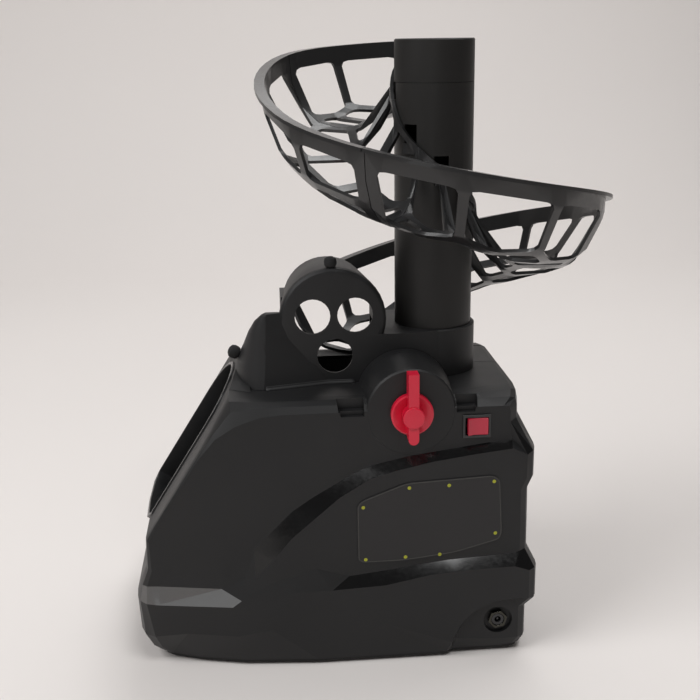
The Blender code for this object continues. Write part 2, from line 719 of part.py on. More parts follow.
def make_casing():
    """Both casing halves, their openings, the battery door and the base."""
    opening = make_mouth()
    bm = bmesh.new()
    add_box(bm, (CHUTE_LEFT - 0.5, -42.5, DECK_Z - 8), (CHUTE_RIGHT + 0.5, 42.5, DECK_Z + 8))
    drop = cutter("drop_cutter", bm)
    near = case_half("casing_near", -1)
    far = case_half("casing_far", 1)
    for half in (near, far):
        combine(half, opening, "DIFFERENCE")
        combine(half, drop, "DIFFERENCE")
    bm = bmesh.new()
    face = UPPER_DEPTH + BOSS_PROUD
    add_turned(bm, [(0, -face), (BOSS_R - 2.7, -face), (BOSS_R - 1.2, -face + 1.5),
                    (BOSS_R + BOSS_FLARE, -BOSS_BACK), (0, -BOSS_BACK)], (DIAL_X, 0, DIAL_Z), "Y", 40)
    boss = cutter("boss_body", bm)
    combine(near, boss, "UNION")
    bm = bmesh.new()
    foot = DECK_Z - 2.0
    reach = math.degrees(math.asin((foot - DIAL_Z) / (BOSS_R + BOSS_FLARE)))
    add_prism(bm, arc((DIAL_X, DIAL_Z), BOSS_R + BOSS_FLARE, reach, 180 - reach, 24), "Y",
              -BOSS_BACK - 1, -BOSS_ARCH_BACK)
    combine(near, cutter("boss_arch", bm), "UNION")
    make_pockets(near)
    bm = bmesh.new()
    inner_r = BOSS_R - CASE_WALL - 0.8
    outline = arc((DIAL_X, DIAL_Z), inner_r, 0, 180, 20)
    outline += [(DIAL_X - inner_r, DIAL_Z - BOSS_R - 2), (DIAL_X + inner_r, DIAL_Z - BOSS_R - 2)]
    add_prism(bm, outline, "Y", CASE_WALL - face, -BOSS_BACK - CASE_WALL)
    combine(near, cutter("boss_hollow", bm), "DIFFERENCE")
    bm = bmesh.new()
    add_turned(bm, rod(4.3, -face - 8, -BOSS_BACK - 10), (DIAL_X, 0, DIAL_Z), "Y", 16)
    half_w = SWITCH_W / 2 - 1.5 + GAP
    half_h = SWITCH_H / 2 - 1.5 + GAP
    add_box(bm, (SWITCH_X - half_w, -UPPER_DEPTH - 12, SWITCH_Z - half_h),
            (SWITCH_X + half_w, -UPPER_DEPTH + 12, SWITCH_Z + half_h))
    combine(near, cutter("control_cutter", bm), "DIFFERENCE")
    bm = bmesh.new()
    floor = JACK_PANEL_DEPTH - 4.0
    add_turned(bm, rod(JACK_RECESS_R + CASE_WALL, -JACK_PANEL_DEPTH + 0.4, -floor + CASE_WALL),
               (JACK_X, 0, JACK_Z), "Y", 28)
    combine(near, cutter("inlet_pad", bm), "UNION", "MANIFOLD")
    bm = bmesh.new()
    add_turned(bm, [(0, -120), (JACK_RECESS_R, -120), (JACK_RECESS_R, -floor), (JACK_BARREL_R + GAP, -floor),
                    (JACK_BARREL_R + GAP, -80), (0, -80)], (JACK_X, 0, JACK_Z), "Y", 28)
    combine(near, cutter("inlet_cutter", bm), "DIFFERENCE", "MANIFOLD")
    door = case_half("battery_door", 1)
    door.parent = PARENTS["door_hinge"]
    door.location = -PARENTS["door_hinge"].location
    bm = bmesh.new()
    add_box(bm, (DOOR_X, DOOR_Y0, DOOR_Z), (REAR_X + 10, DOOR_Y1, DECK_Z + 10))
    combine(far, cutter("door_opening", bm), "DIFFERENCE")
    bm = bmesh.new()
    edge = GAP + 0.1
    add_box(bm, (DOOR_X + edge, DOOR_Y0 + edge, DOOR_Z + edge),
            (REAR_X + 9, DOOR_Y1 - edge, DECK_Z + 9))
    combine(door, cutter("door_shape", bm), "INTERSECT")


def make_base():
    """Base plate with its rubber pads and screws."""
    bm = bmesh.new()
    top = CASE_BOTTOM - GAP
    add_prism(bm, base_outline(2.0), "Z", top - BASE_THICK, top)
    plate = collect("base_plate", bm, "base_abs")
    bm = bmesh.new()
    for sx in (-1, 1):
        for sy in (-1, 1):
            x = FOOT_MID_X + sx * FOOT_X
            add_turned(bm, rod(3.2, top - BASE_THICK - 5, top + 5), (x, sy * FOOT_Y, 0), "Z", 12)
    combine(plate, cutter("base_screw_holes", bm), "DIFFERENCE")
    number = 0
    for sx in (-1, 1):
        for sy in (-1, 1):
            number += 1
            x = FOOT_MID_X + sx * FOOT_X
            bm = bmesh.new()
            foot_top = top - BASE_THICK - GAP
            add_turned(bm, [(0, 0), (FOOT_RADIUS - 1, 0), (FOOT_RADIUS, 1), (FOOT_RADIUS, foot_top),
                            (3.0, foot_top), (3.0, foot_top + 2.4), (0, foot_top + 2.4)],
                       (x, sy * FOOT_Y, 0), "Z", 20)
            collect(f"foot_{number}", bm, "rubber")


# Spiral rail

# Height of the rim against the angle round the column.
RIM_HEIGHTS = [(70.0, 538.5), (110.0, 535.0), (146.0, 526.5), (180.0, 504.0), (214.0, 477.0),
               (272.0, 443.5), (334.0, 411.5), (400.0, 374.0), (428.0, 356.0), (470.0, 327.0),
               (508.0, 303.0)]
BOWL_POWER = 2.3
SECTION_STEPS = 60
# Window centres as share of the segment, share of the section, and weight.
WINDOWS_TALL = [(0.15, 0.76, 60), (0.48, 0.76, 90), (0.83, 0.76, 60), (0.02, 0.52, 0), (0.31, 0.53, 0),
                (0.64, 0.53, 0), (0.95, 0.52, 0), (0.18, 0.26, 60), (0.50, 0.25, 60), (0.82, 0.26, 60)]
WINDOWS_CROSS = [(0.12, 0.76, 60), (0.37, 0.77, 60), (0.60, 0.84, 0), (0.60, 0.66, 0), (0.83, 0.84, 0),
                 (0.83, 0.66, 0), (0.22, 0.50, 20), (0.50, 0.48, 20), (0.76, 0.47, 0), (0.97, 0.50, 0),
                 (0.12, 0.25, 40), (0.42, 0.23, 60), (0.74, 0.25, 60)]
WINDOW_ROUND = 5.0
MEAN_R = (RIM_R - FLANGE + RAIL_INNER_R) / 2
MM_PER_DEG = MEAN_R * math.pi / 180


def rim_height(angle):
    """Rim height at an angle, as a smooth curve through its set heights."""
    points = RIM_HEIGHTS
    i = max(0, min(len(points) - 2, sum(1 for p in points if p[0] <= angle) - 1))

    def slope(k):
        low = points[max(k - 1, 0)]
        high = points[min(k + 1, len(points) - 1)]
        return (high[1] - low[1]) / (high[0] - low[0])
    (a0, z0), (a1, z1) = points[i], points[i + 1]
    span = a1 - a0
    t = (angle - a0) / span
    return ((2 * t ** 3 - 3 * t ** 2 + 1) * z0 + (t ** 3 - 2 * t ** 2 + t) * span * slope(i)
            + (-2 * t ** 3 + 3 * t ** 2) * z1 + (t ** 3 - t ** 2) * span * slope(i + 1))


def bowl_point(turn, depth):
    """Outer skin of the bowl at 0 (inner edge) to 1 (rim), as radius and drop."""
    a = math.pi * turn
    across = math.copysign(abs(math.cos(a)) ** (2 / BOWL_POWER), math.cos(a))
    down = abs(math.sin(a)) ** (2 / BOWL_POWER)
    if across > 0:
        return (MEAN_R - (MEAN_R - RAIL_INNER_R) * across,
                -RAIL_INNER_DROP - (depth - RAIL_INNER_DROP) * down)
    return (MEAN_R - (RIM_R - FLANGE - MEAN_R) * across, -RAIL_WALL - (depth - RAIL_WALL) * down)


def bowl_table():
    """Turn against length along the bowl's section."""
    table = [(0.0, 0.0)]
    last = Vector(bowl_point(0.0, BOWL_DEPTH))
    for i in range(1, SECTION_STEPS + 1):
        spot = Vector(bowl_point(i / SECTION_STEPS, BOWL_DEPTH))
        table.append((table[-1][0] + (spot - last).length, i / SECTION_STEPS))
        last = spot
    return table


BOWL_TABLE = bowl_table()
BOWL_LENGTH = BOWL_TABLE[-1][0]


def bowl_at(length, depth):
    """Radius and drop at a length along the section; beyond the bowl lies the flange."""
    if length >= BOWL_LENGTH:
        return (RIM_R - FLANGE + (length - BOWL_LENGTH), -RAIL_WALL)
    for (l0, t0), (l1, t1) in zip(BOWL_TABLE, BOWL_TABLE[1:]):
        if length <= l1:
            break
    turn = t0 + (t1 - t0) * (length - l0) / (l1 - l0)
    return bowl_point(max(turn, 0.0), depth)


def length_at_radius(radius):
    """Length along the section where its inner half reaches a radius."""
    low, high = 0.0, BOWL_LENGTH / 2
    for _ in range(30):
        middle = (low + high) / 2
        if bowl_at(middle, BOWL_DEPTH)[0] < radius:
            low = middle
        else:
            high = middle
    return low


def rail_point(start, along, length):
    """Outer skin of the rail in space."""
    angle = start + along / MM_PER_DEG
    rim = rim_height(angle)
    radius, drop = bowl_at(length, min(BOWL_DEPTH, rim - DECK_Z - GAP))
    return Vector((COLUMN_X + radius * math.cos(deg(angle)), radius * math.sin(deg(angle)), rim + drop))


def rail_normal(start, along, length):
    """Outward direction of the rail's skin, mitred where the flange begins."""
    step = 0.05

    def across(low, high):
        a = rail_point(start, along + step, (low + high) / 2) - rail_point(start, along - step, (low + high) / 2)
        b = rail_point(start, along, high) - rail_point(start, along, low)
        return a.cross(b).normalized()
    if abs(length - BOWL_LENGTH) < 0.01:
        first = across(length - 2 * step, length - step)
        second = across(length + step, length + 2 * step)
        return (first + second) / (1 + first.dot(second))
    if length > BOWL_LENGTH:
        return across(length - 2 * step, length - step)
    return across(max(length - step, 0), max(length - step, 0) + 2 * step)


def clip(polygon, spot, normal):
    """Part of a polygon on the side that a normal points away from."""
    kept = []
    count = len(polygon)
    for i in range(count):
        a, b = polygon[i], polygon[(i + 1) % count]
        da = (a - spot).dot(normal)
        db = (b - spot).dot(normal)
        if da <= 0:
            kept.append(a)
        if (da < 0 < db) or (db < 0 < da):
            kept.append(a + (b - a) * (da / (da - db)))
    return kept


def rounded(polygon, radius, steps=2):
    """Polygon with its corners rounded."""
    made = []
    count = len(polygon)
    for i in range(count):
        corner = polygon[i]
        before = polygon[i - 1] - corner
        after = polygon[(i + 1) % count] - corner
        reach = min(radius, before.length * 0.42, after.length * 0.42)
        a = corner + before.normalized() * reach
        b = corner + after.normalized() * reach
        for k in range(steps + 1):
            t = k / steps
            made.append(a * (1 - t) ** 2 + corner * 2 * t * (1 - t) + b * t ** 2)
    return made


def windows(seeds, span, inner_limit):
    """Rounded window outlines between struts, from weighted centres."""
    top = BOWL_LENGTH - RIM_BAND
    margin = STRUT * 0.7
    made = []
    for i, (share, height, weight) in enumerate(seeds):
        here = Vector((share * span, height * BOWL_LENGTH))
        low = max(STRUT, inner_limit(here.x) + STRUT)
        cell = [Vector((margin, low)), Vector((span - margin, low)), Vector((span - margin, top)),
                Vector((margin, top))]
        scale = bowl_at(here.y, BOWL_DEPTH)[0] / MEAN_R
        for k, (other_share, other_height, other_weight) in enumerate(seeds):
            if k == i:
                continue
            there = Vector((other_share * span, other_height * BOWL_LENGTH))
            line = there - here
            normal = line.normalized()
            half = STRUT / 2 / math.hypot(normal.x * scale, normal.y)
            shift = (weight - other_weight) / (2 * line.length)
            cell = clip(cell, here + normal * (line.length / 2 + shift - half), normal)
            if len(cell) < 3:
                break
        if len(cell) >= 3 and polygon_area(cell) > 90:
            made.append([tuple(p) for p in rounded(tidy(cell), WINDOW_ROUND)])
    return made


def polygon_area(polygon):
    """Area of a polygon."""
    total = 0.0
    for a, b in zip(polygon, polygon[1:] + polygon[:1]):
        total += a[0] * b[1] - a[1] * b[0]
    return abs(total) / 2


def tidy(polygon):
    """Polygon without its very short edges."""
    kept = [p for i, p in enumerate(polygon) if (p - polygon[i - 1]).length > 2.5]
    return kept if len(kept) > 2 else polygon


TRIM_START = 462.0
TRIM_Y = HOOD_BACK + 1.5


def inner_limit_for(index):
    """Lowest length along the section, which the tower cuts back on the last segment."""
    start = RAIL_JOINTS[index]

    def limit(along):
        angle = start + along / MM_PER_DEG
        if angle <= TRIM_START:
            return 0.0
        radius = TRIM_Y / math.sin(deg(angle))
        share = min(1.0, (angle - TRIM_START) / 6.0)
        return length_at_radius(max(radius, RAIL_INNER_R)) * share
    return limit


TAB_SHARES = (0.34, 0.84)
LAST_TAB_SHARES = (0.16,)


def tab_places():
    """Segment, angle and lower height of each tab that hooks into the column."""
    places = []
    for index in range(len(RAIL_JOINTS) - 1):
        first, last = RAIL_JOINTS[index], RAIL_JOINTS[index + 1]
        shares = TAB_SHARES if index < len(RAIL_JOINTS) - 2 else LAST_TAB_SHARES
        for share in shares:
            angle = first + (last - first) * share
            places.append((index, angle, rim_height(angle) - RAIL_INNER_DROP - TAB_HEIGHT - 7.0))
    return places


def add_tab(bm, angle, low, high, inner, outer, width):
    """Block across the column's wall at an angle."""
    turn = Matrix.Rotation(deg(angle), 3, "Z")
    corners = [(inner, -width / 2), (outer, -width / 2), (outer, width / 2), (inner, width / 2)]
    outline = []
    for corner in corners:
        spot = turn @ Vector((*corner, 0))
        outline.append((COLUMN_X + spot.x, spot.y))
    return add_prism(bm, outline, "Z", low, high)


def make_rail():
    """Five moulded segments, each with its web of struts and its tabs."""
    for index in range(len(RAIL_JOINTS) - 1):
        start = RAIL_JOINTS[index] + RAIL_JOINT_GAP / 2
        span = (RAIL_JOINTS[index + 1] - RAIL_JOINTS[index] - RAIL_JOINT_GAP) * MM_PER_DEG
        limit = inner_limit_for(index)
        top = BOWL_LENGTH + FLANGE
        steps = 12
        lower = [(span * i / steps, limit(span * i / steps)) for i in range(steps + 1)]
        upper = [(span * (1 - i / (steps + 4)), top) for i in range(steps + 5)]
        side_steps = [0.12, 0.25, 0.38, 0.5, 0.62, 0.75, 0.88]
        right = [(span, lower[-1][1] + (BOWL_LENGTH - lower[-1][1]) * s) for s in side_steps]
        left = [(0.0, BOWL_LENGTH * s) for s in reversed(side_steps)]
        outline = lower + right + [(span, BOWL_LENGTH)] + upper + [(0.0, BOWL_LENGTH)] + left
        seeds = WINDOWS_TALL if index % 2 == 0 else WINDOWS_CROSS
        holes = windows(seeds, span, limit)
        fold = [(span * i / (steps + 4), BOWL_LENGTH) for i in range(1, steps + 4)]
        points = []
        for i in range(1, steps):
            for k in range(1, 14):
                spot = (span * i / steps, BOWL_LENGTH * k / 14)
                clear = min([edge_distance(spot, h) for h in holes] + [edge_distance(spot, outline)])
                if clear > 3.0 and inside(spot, outline) and not any(inside(spot, h) for h in holes):
                    points.append(spot)
        spots, faces = triangulate(outline, holes, [fold], points)
        bm = bmesh.new()
        add_shell(bm, spots, faces, lambda a, v: rail_point(start, a, v),
                  lambda a, v: rail_normal(start, a, v), RAIL_WALL)
        piece = collect(f"rail_{index + 1}", bm, "rail_pp", sharp=50.0)
        for number, (owner, angle, low) in enumerate(tab_places()):
            if owner != index:
                continue
            bm = bmesh.new()
            add_tab(bm, angle, low, low + TAB_HEIGHT, COLUMN_R - TAB_REACH, RAIL_INNER_R + 1.6, TAB_WIDTH)
            combine(piece, cutter(f"rail_tab_{number}", bm), "UNION")


def make_column():
    """Column tube, its slots and its cap."""
    bm = bmesh.new()
    seam = COLUMN_TOP - CAP_HEIGHT
    add_turned(bm, [(COLUMN_BORE_R, DECK_Z + GAP), (COLUMN_R, DECK_Z + GAP), (COLUMN_R, seam - GAP),
                    (COLUMN_BORE_R, seam - GAP)], (COLUMN_X, 0, 0), "Z", 48)
    tube = collect("column", bm, "column_abs")
    bm = bmesh.new()
    plug = COLUMN_BORE_R - GAP
    add_turned(bm, [(plug - 3, seam - 8), (plug, seam - 8), (plug, seam), (COLUMN_R, seam),
                    (COLUMN_R, COLUMN_TOP - 1), (COLUMN_R - 1, COLUMN_TOP), (0, COLUMN_TOP),
                    (0, COLUMN_TOP - 3), (plug - 3, COLUMN_TOP - 3)], (COLUMN_X, 0, 0), "Z", 48)
    cap = collect("column_cap", bm, "cap_abs")
    side = TAB_WIDTH + 2 * GAP
    for number, (_, angle, low) in enumerate(tab_places()):
        if low < seam - SLOT_RISE:
            bm = bmesh.new()
            add_tab(bm, angle, low - GAP, low + TAB_HEIGHT + SLOT_RISE, COLUMN_BORE_R - 6, COLUMN_R + 4, side)
            combine(tube, cutter(f"column_slot_{number}", bm), "DIFFERENCE")
        else:
            bm = bmesh.new()
            add_tab(bm, angle, min(low, seam) - 9, low + TAB_HEIGHT + GAP, COLUMN_BORE_R - 6, COLUMN_R + 4, side)
            slot = cutter(f"cap_slot_{number}", bm)
            combine(tube, slot, "DIFFERENCE")
            combine(cap, slot, "DIFFERENCE")


# Tower with the feed hood

# Wedge in front of the hood. Each level has its height, the tip of its nose, the corner where the nose
# meets the leaning side, the point where that side meets the tower, the depth to which it then runs in,
# and its far side.
WEDGE_LEVELS = [
    (DECK_Z + GAP, (-127.5, 0.0), (-99.6, -58.2), (-40.8, -43.9), -32.0, 58.0),
    (262.0, (-123.2, -12.0), (-98.0, -54.5), (-52.3, -43.4), -38.0, 34.5),
    (276.0, (-117.2, -21.0), (-97.2, -51.8), (-62.2, -42.8), -38.0, 14.2),
    (291.5, (-111.8, -30.0), (-96.7, -49.3), (-73.1, -42.4), -38.0, -8.3),
    (303.0, (-106.0, -37.0), (-96.3, -47.4), (-81.0, -42.2), -38.0, -25.0),
    (309.3, (-100.0, -41.0), (-96.2, -46.2), (-84.6, -42.0), -38.0, -34.5),
    (310.8, (-97.5, -41.5), (-95.0, -45.0), (-84.6, -41.8), -38.0, -37.0),
]
WEDGE_HOLLOW_LEVELS = 4
# Slanted front edge of the tower's flat side: a point on it and its slope.
SIDE_EDGE = (-84.4, 307.4)
SIDE_SLOPE = 0.707
# Raised part of the tower behind the mouth's arch: foot, middle and top as x, half width and height.
FAIRING = [(-111.2, 62.0, DECK_Z + GAP), (-130.0, 52.0, DECK_Z + GAP), (-122.7, 11.0, 257.0), (-116.0, 14.0, 257.0)]


def wedge_plan(level, wall):
    """Plan of the wedge at a level, drawn in by a wall; the roof is drawn in by more."""
    _, tip, corner, meet, back, far = level
    corner = (corner[0] + 0.5 * wall, corner[1] + 1.15 * wall)
    tip = (tip[0] + 1.4 * wall, tip[1])
    far -= 2.2 * wall
    back -= wall
    meet = (min(meet[0], back - 1.0), meet[1] + wall)
    near = [(corner[0] + (tip[0] - corner[0]) * math.sin(deg(a)), tip[1] + (corner[1] - tip[1]) * math.cos(deg(a)))
            for a in range(0, 91, 15)]
    away = [(corner[0] + (tip[0] - corner[0]) * math.sin(deg(a)), tip[1] + (far - tip[1]) * math.cos(deg(a)))
            for a in range(75, -1, -15)]
    return [meet] + near + away + [(back, far), (back, meet[1] + 1.0)]


def wedge_tip(z):
    """X of the wedge's tip at a height."""
    for low, high in zip(WEDGE_LEVELS, WEDGE_LEVELS[1:]):
        if z <= high[0]:
            break
    return low[1][0] + (high[1][0] - low[1][0]) * (z - low[0]) / (high[0] - low[0])


def side_plan(z, wall, back):
    """Plan of the tower's flat-sided part at a height, with its tail to the collar."""
    front = SIDE_EDGE[0] + (SIDE_EDGE[1] - z) * SIDE_SLOPE + 1.2 * wall
    half = TOWER_HALF - wall
    near = min(30.0, back)
    outline = [(front, -half), (front, half), (near, half)]
    if back > near:
        outline += [(back, COLLAR_R - 0.5), (back, -COLLAR_R + 0.5)]
    return outline + [(near, -half)]


def add_loft(bm, plans):
    """Closed loft through plans given as height and outline."""
    rows = [[bm.verts.new((x, y, z)) for x, y in plan] for z, plan in plans]
    bm.faces.new(rows[0])
    bm.faces.new(rows[-1])
    count = len(rows[0])
    for a, b in zip(rows, rows[1:]):
        for i in range(count):
            j = (i + 1) % count
            bm.faces.new((a[i], a[j], b[j], b[i]))


def hood_radius(y):
    """Outer radius of the hood, which tapers towards its open end."""
    share = max(0.0, (y - HOOD_RIM_Y) / (HOOD_BACK - HOOD_RIM_Y))
    return HOOD_R + (HOOD_FAR_R - HOOD_R) * share


def make_tower(opening):
    """Tower cover with its hood, collar and wedge."""
    base = DECK_Z + GAP
    bm = bmesh.new()
    add_loft(bm, [(z, side_plan(z, 0.0, COLUMN_X)) for z in (base, TOWER_TOP)])
    tower = collect("tower_cover", bm, "tower_abs", sharp=25.0)
    bm = bmesh.new()
    add_loft(bm, [(level[0], wedge_plan(level, 0.0)) for level in WEDGE_LEVELS])
    combine(tower, cutter("tower_wedge", bm), "UNION")
    bm = bmesh.new()
    for x, half, z in FAIRING:
        for side in (-1, 1):
            bm.verts.new((x, side * half, z))
    bmesh.ops.convex_hull(bm, input=bm.verts)
    combine(tower, cutter("tower_fairing", bm), "UNION")
    bm = bmesh.new()
    add_turned(bm, [(0, -TOWER_HALF), (HOOD_R - 6, -TOWER_HALF), (HOOD_R - 3, -TOWER_HALF + 0.9),
                    (HOOD_R - 0.9, -TOWER_HALF + 3), (HOOD_R, HOOD_RIM_Y), (HOOD_FAR_R, HOOD_BACK), (0, HOOD_BACK)],
               (HOOD_X, 0, HOOD_Z), "Y", 40)
    combine(tower, cutter("hood_barrel", bm), "UNION")
    bm = bmesh.new()
    add_box(bm, (CHUTE_LEFT - TOWER_WALL, THROAT_Y, base),
            (CHUTE_RIGHT + TOWER_WALL, HOOD_BACK, THROAT_TOP + THROAT_SHOULDER))
    combine(tower, cutter("throat_body", bm), "UNION")
    bm = bmesh.new()
    add_turned(bm, [(0, base), (COLLAR_R, base), (COLLAR_R, TOWER_TOP - 1), (COLLAR_R - 1, TOWER_TOP),
                    (0, TOWER_TOP)], (COLUMN_X, 0, 0), "Z", 48)
    combine(tower, cutter("collar_body", bm), "UNION")
    bm = bmesh.new()
    add_loft(bm, [(z, side_plan(z, TOWER_WALL, 16.0)) for z in (base - 6, TOWER_TOP - TOWER_WALL)])
    hollow = cutter("tower_hollow", bm)
    bm = bmesh.new()
    hollow_levels = WEDGE_LEVELS[:WEDGE_HOLLOW_LEVELS]
    plans = [(level[0], wedge_plan(level, TOWER_WALL)) for level in hollow_levels]
    add_loft(bm, [(base - 6, plans[0][1])] + plans)
    combine(hollow, cutter("wedge_hollow", bm), "UNION", "MANIFOLD")
    bm = bmesh.new()
    add_turned(bm, [(0, -TOWER_HALF + TOWER_WALL), (HOOD_R - TOWER_WALL, -TOWER_HALF + TOWER_WALL),
                    (HOOD_R - TOWER_WALL, HOOD_RIM_Y), (HOOD_FAR_R - TOWER_WALL, HOOD_BACK),
                    (HOOD_FAR_R - TOWER_WALL, HOOD_BACK + 20), (0, HOOD_BACK + 20)],
               (HOOD_X, 0, HOOD_Z), "Y", 40)
    combine(hollow, cutter("hood_hollow", bm), "UNION", "MANIFOLD")
    bm = bmesh.new()
    add_box(bm, (CHUTE_LEFT, 0.0, base - 12), (CHUTE_RIGHT, HOOD_BACK + 20, THROAT_TOP))
    combine(hollow, cutter("ball_way", bm), "UNION", "MANIFOLD")
    combine(tower, hollow, "DIFFERENCE", "MANIFOLD")
    bm = bmesh.new()
    add_turned(bm, [(0, 230), (COLUMN_R + GAP, 230), (COLUMN_R + GAP, 300), (0, 300)],
               (COLUMN_X, 0, 0), "Z", 48)
    combine(tower, cutter("collar_bore", bm), "DIFFERENCE", "MANIFOLD")
    bm = bmesh.new()
    for x, z in HOOD_HOLES:
        add_turned(bm, [(0, -60), (HOOD_HOLE_R, -60), (HOOD_HOLE_R, -30), (0, -30)], (x, 0, z), "Y", 24)
    top = HOOD_Z + HOOD_R
    add_turned(bm, [(0, top - 8), (2.8, top - 8), (2.8, top + 8), (0, top + 8)], (HOOD_X - 1, TOP_KNOB_Y, 0),
               "Z", 12)
    combine(tower, cutter("hood_holes", bm), "DIFFERENCE", "MANIFOLD")
    combine(tower, opening, "DIFFERENCE", "MANIFOLD")
    bm = bmesh.new()
    add_turned(bm, [(0, top - 4), (2.5, top - 4), (2.5, top + GAP), (4.6, top + GAP), (5.4, top + 2),
                    (5.7, top + 4.6), (5.0, top + 7.4), (2.6, top + 9), (0, top + 9.4)],
               (HOOD_X - 1, TOP_KNOB_Y, 0), "Z", 16)
    collect("bumper_top", bm, "rubber")


def make_front_bumper(tower):
    """Rubber knob on the tip of the wedge, square to its wall."""
    tip = Vector((wedge_tip(BUMPER_Z) + 0.4, BUMPER_Y, BUMPER_Z))
    rise = Vector((wedge_tip(BUMPER_Z + 1) - wedge_tip(BUMPER_Z), 0, 1)).normalized()
    lean = Matrix.Rotation(math.atan2(rise.x, rise.z), 3, "Y")
    bm = bmesh.new()
    add_turned(bm, rod(2.8, -8, 8), (0, 0, 0), "X", 12)
    bmesh.ops.transform(bm, matrix=Matrix.Translation(tip) @ lean.to_4x4(), verts=bm.verts)
    combine(tower, cutter("bumper_hole", bm), "DIFFERENCE", "MANIFOLD")
    bm = bmesh.new()
    add_turned(bm, [(0, -11), (2.8, -10.5), (5.4, -8.8), (6.3, -5.8), (5.8, -2.6),
                    (5.0, -0.8), (2.5, -0.8), (2.5, 5), (0, 5)], (0, 0, 0), "X", 16)
    bmesh.ops.transform(bm, matrix=Matrix.Translation(tip) @ lean.to_4x4(), verts=bm.verts)
    collect("bumper_front", bm, "rubber")


# Inner frame and throw arm

def add_plate(bm, outline, holes, low, high):
    """Plate with holes, standing in the XZ plane between two Y levels."""
    spots, faces = triangulate(outline, holes, [], [])
    return add_shell(bm, spots, faces, lambda x, z: Vector((x, low, z)),
                     lambda x, z: Vector((0, -1, 0)), high - low)


def circle(centre, radius, steps=20):
    """Points round a circle."""
    return [polar(centre, radius, 360 * i / steps) for i in range(steps)]


def drive_centre():
    """Axis of the drive wheel, one mesh distance from the arm's shaft."""
    reach = SECTOR_MODULE * (SECTOR_TEETH + DRIVE_PINION_TEETH) / 2
    return polar((ARM_X, ARM_Z), reach, DRIVE_ANGLE)


def motor_centre():
    """Axis of the motor, one mesh distance from the drive wheel."""
    reach = WHEEL_MODULE * (WHEEL_TEETH + MOTOR_PINION_TEETH) / 2
    return polar(drive_centre(), reach, MOTOR_ANGLE)


def spring_line():
    """X of the spring, and heights of its lower pin and upper anchor."""
    x, low = polar((ARM_X, ARM_Z), LEVER_R, LEVER_ANGLE)
    return x, low, low + SPRING_TURNS * SPRING_PITCH + 2 * HOOK_RISE


def make_frames():
    """Two inner side frames, the bushes, the gear plate and the stop bars."""
    foot = CASE_BOTTOM
    ceiling = DECK_Z - CASE_WALL - GAP
    outline = [(-160, foot), (20, foot), (20, ceiling), (-70, ceiling), (-112, 165), (-118, 100), (-160, 92)]
    bush_hole = circle((ARM_X, ARM_Z), BUSH_R + GAP)
    gate_hole = circle((GATE_X, GATE_Z), GATE_PIN_R + GAP, 12)
    drive_hole = circle(drive_centre(), DRIVE_SHAFT_R + RUN_GAP, 16)
    motor_hole = circle(motor_centre(), MOTOR_NOSE_R + GAP, 16)
    outer = FRAME_Y + FRAME_THICK
    bm = bmesh.new()
    add_plate(bm, outline, [bush_hole, gate_hole], -outer, -FRAME_Y)
    collect("frame_near", bm, "grey_abs")
    bm = bmesh.new()
    add_plate(bm, outline, [bush_hole, gate_hole, drive_hole, motor_hole], FRAME_Y, outer)
    collect("frame_far", bm, "grey_abs")
    for name, side in (("near", -1), ("far", 1)):
        bm = bmesh.new()
        profile = [(SHAFT_R + RUN_GAP, FRAME_Y - 1.9), (BUSH_R + 2.4, FRAME_Y - 1.9), (BUSH_R + 2.4, FRAME_Y - GAP),
                   (BUSH_R, FRAME_Y - GAP), (BUSH_R, outer + GAP), (SHAFT_R + RUN_GAP, outer + GAP)]
        add_turned(bm, [(r, side * h) for r, h in profile], (ARM_X, 0, ARM_Z), "Y", 20)
        collect(f"arm_bush_{name}", bm, "bronze")
    wheel = drive_centre()
    plate = [(-150, foot), (-15, foot), (-15, 60), (wheel[0] + 15, 72), (-100, 84), (-150, 84)]
    bm = bmesh.new()
    add_plate(bm, plate, [circle((ARM_X, ARM_Z), SHAFT_R + RUN_GAP, 16), circle(wheel, DRIVE_SHAFT_R + RUN_GAP, 16)],
              GEAR_PLATE_Y, GEAR_PLATE_Y + FRAME_THICK)
    collect("gear_plate", bm, "grey_abs")
    reach = FRAME_Y - GAP
    for name, along, angle, side in (("stop", STOP_ALONG, ARM_REST + ARM_SWING, 1), ("rest", REST_ALONG, ARM_REST, -1)):
        start = polar((ARM_X, ARM_Z), along, angle)
        offset = ARM_THICK / 2 + BUFFER_R + GAP
        spot = polar(start, offset, angle + 90 * side)
        bm = bmesh.new()
        add_turned(bm, rod(BAR_R, -reach, reach), (spot[0], 0, spot[1]), "Y", 16)
        collect(f"{name}_bar", bm, "zinc_steel")
        bm = bmesh.new()
        add_turned(bm, ring(BAR_R + GAP, BUFFER_R, -14, 14), (spot[0], 0, spot[1]), "Y", 16)
        collect(f"{name}_buffer", bm, "rubber")


def lay_on_arm(bm, angle):
    """Turn a shape drawn along +X about the arm's axis."""
    turn = Matrix.Rotation(deg(-angle), 3, "Y")
    for v in bm.verts:
        v.co = turn @ v.co + Vector((ARM_X, 0, ARM_Z))


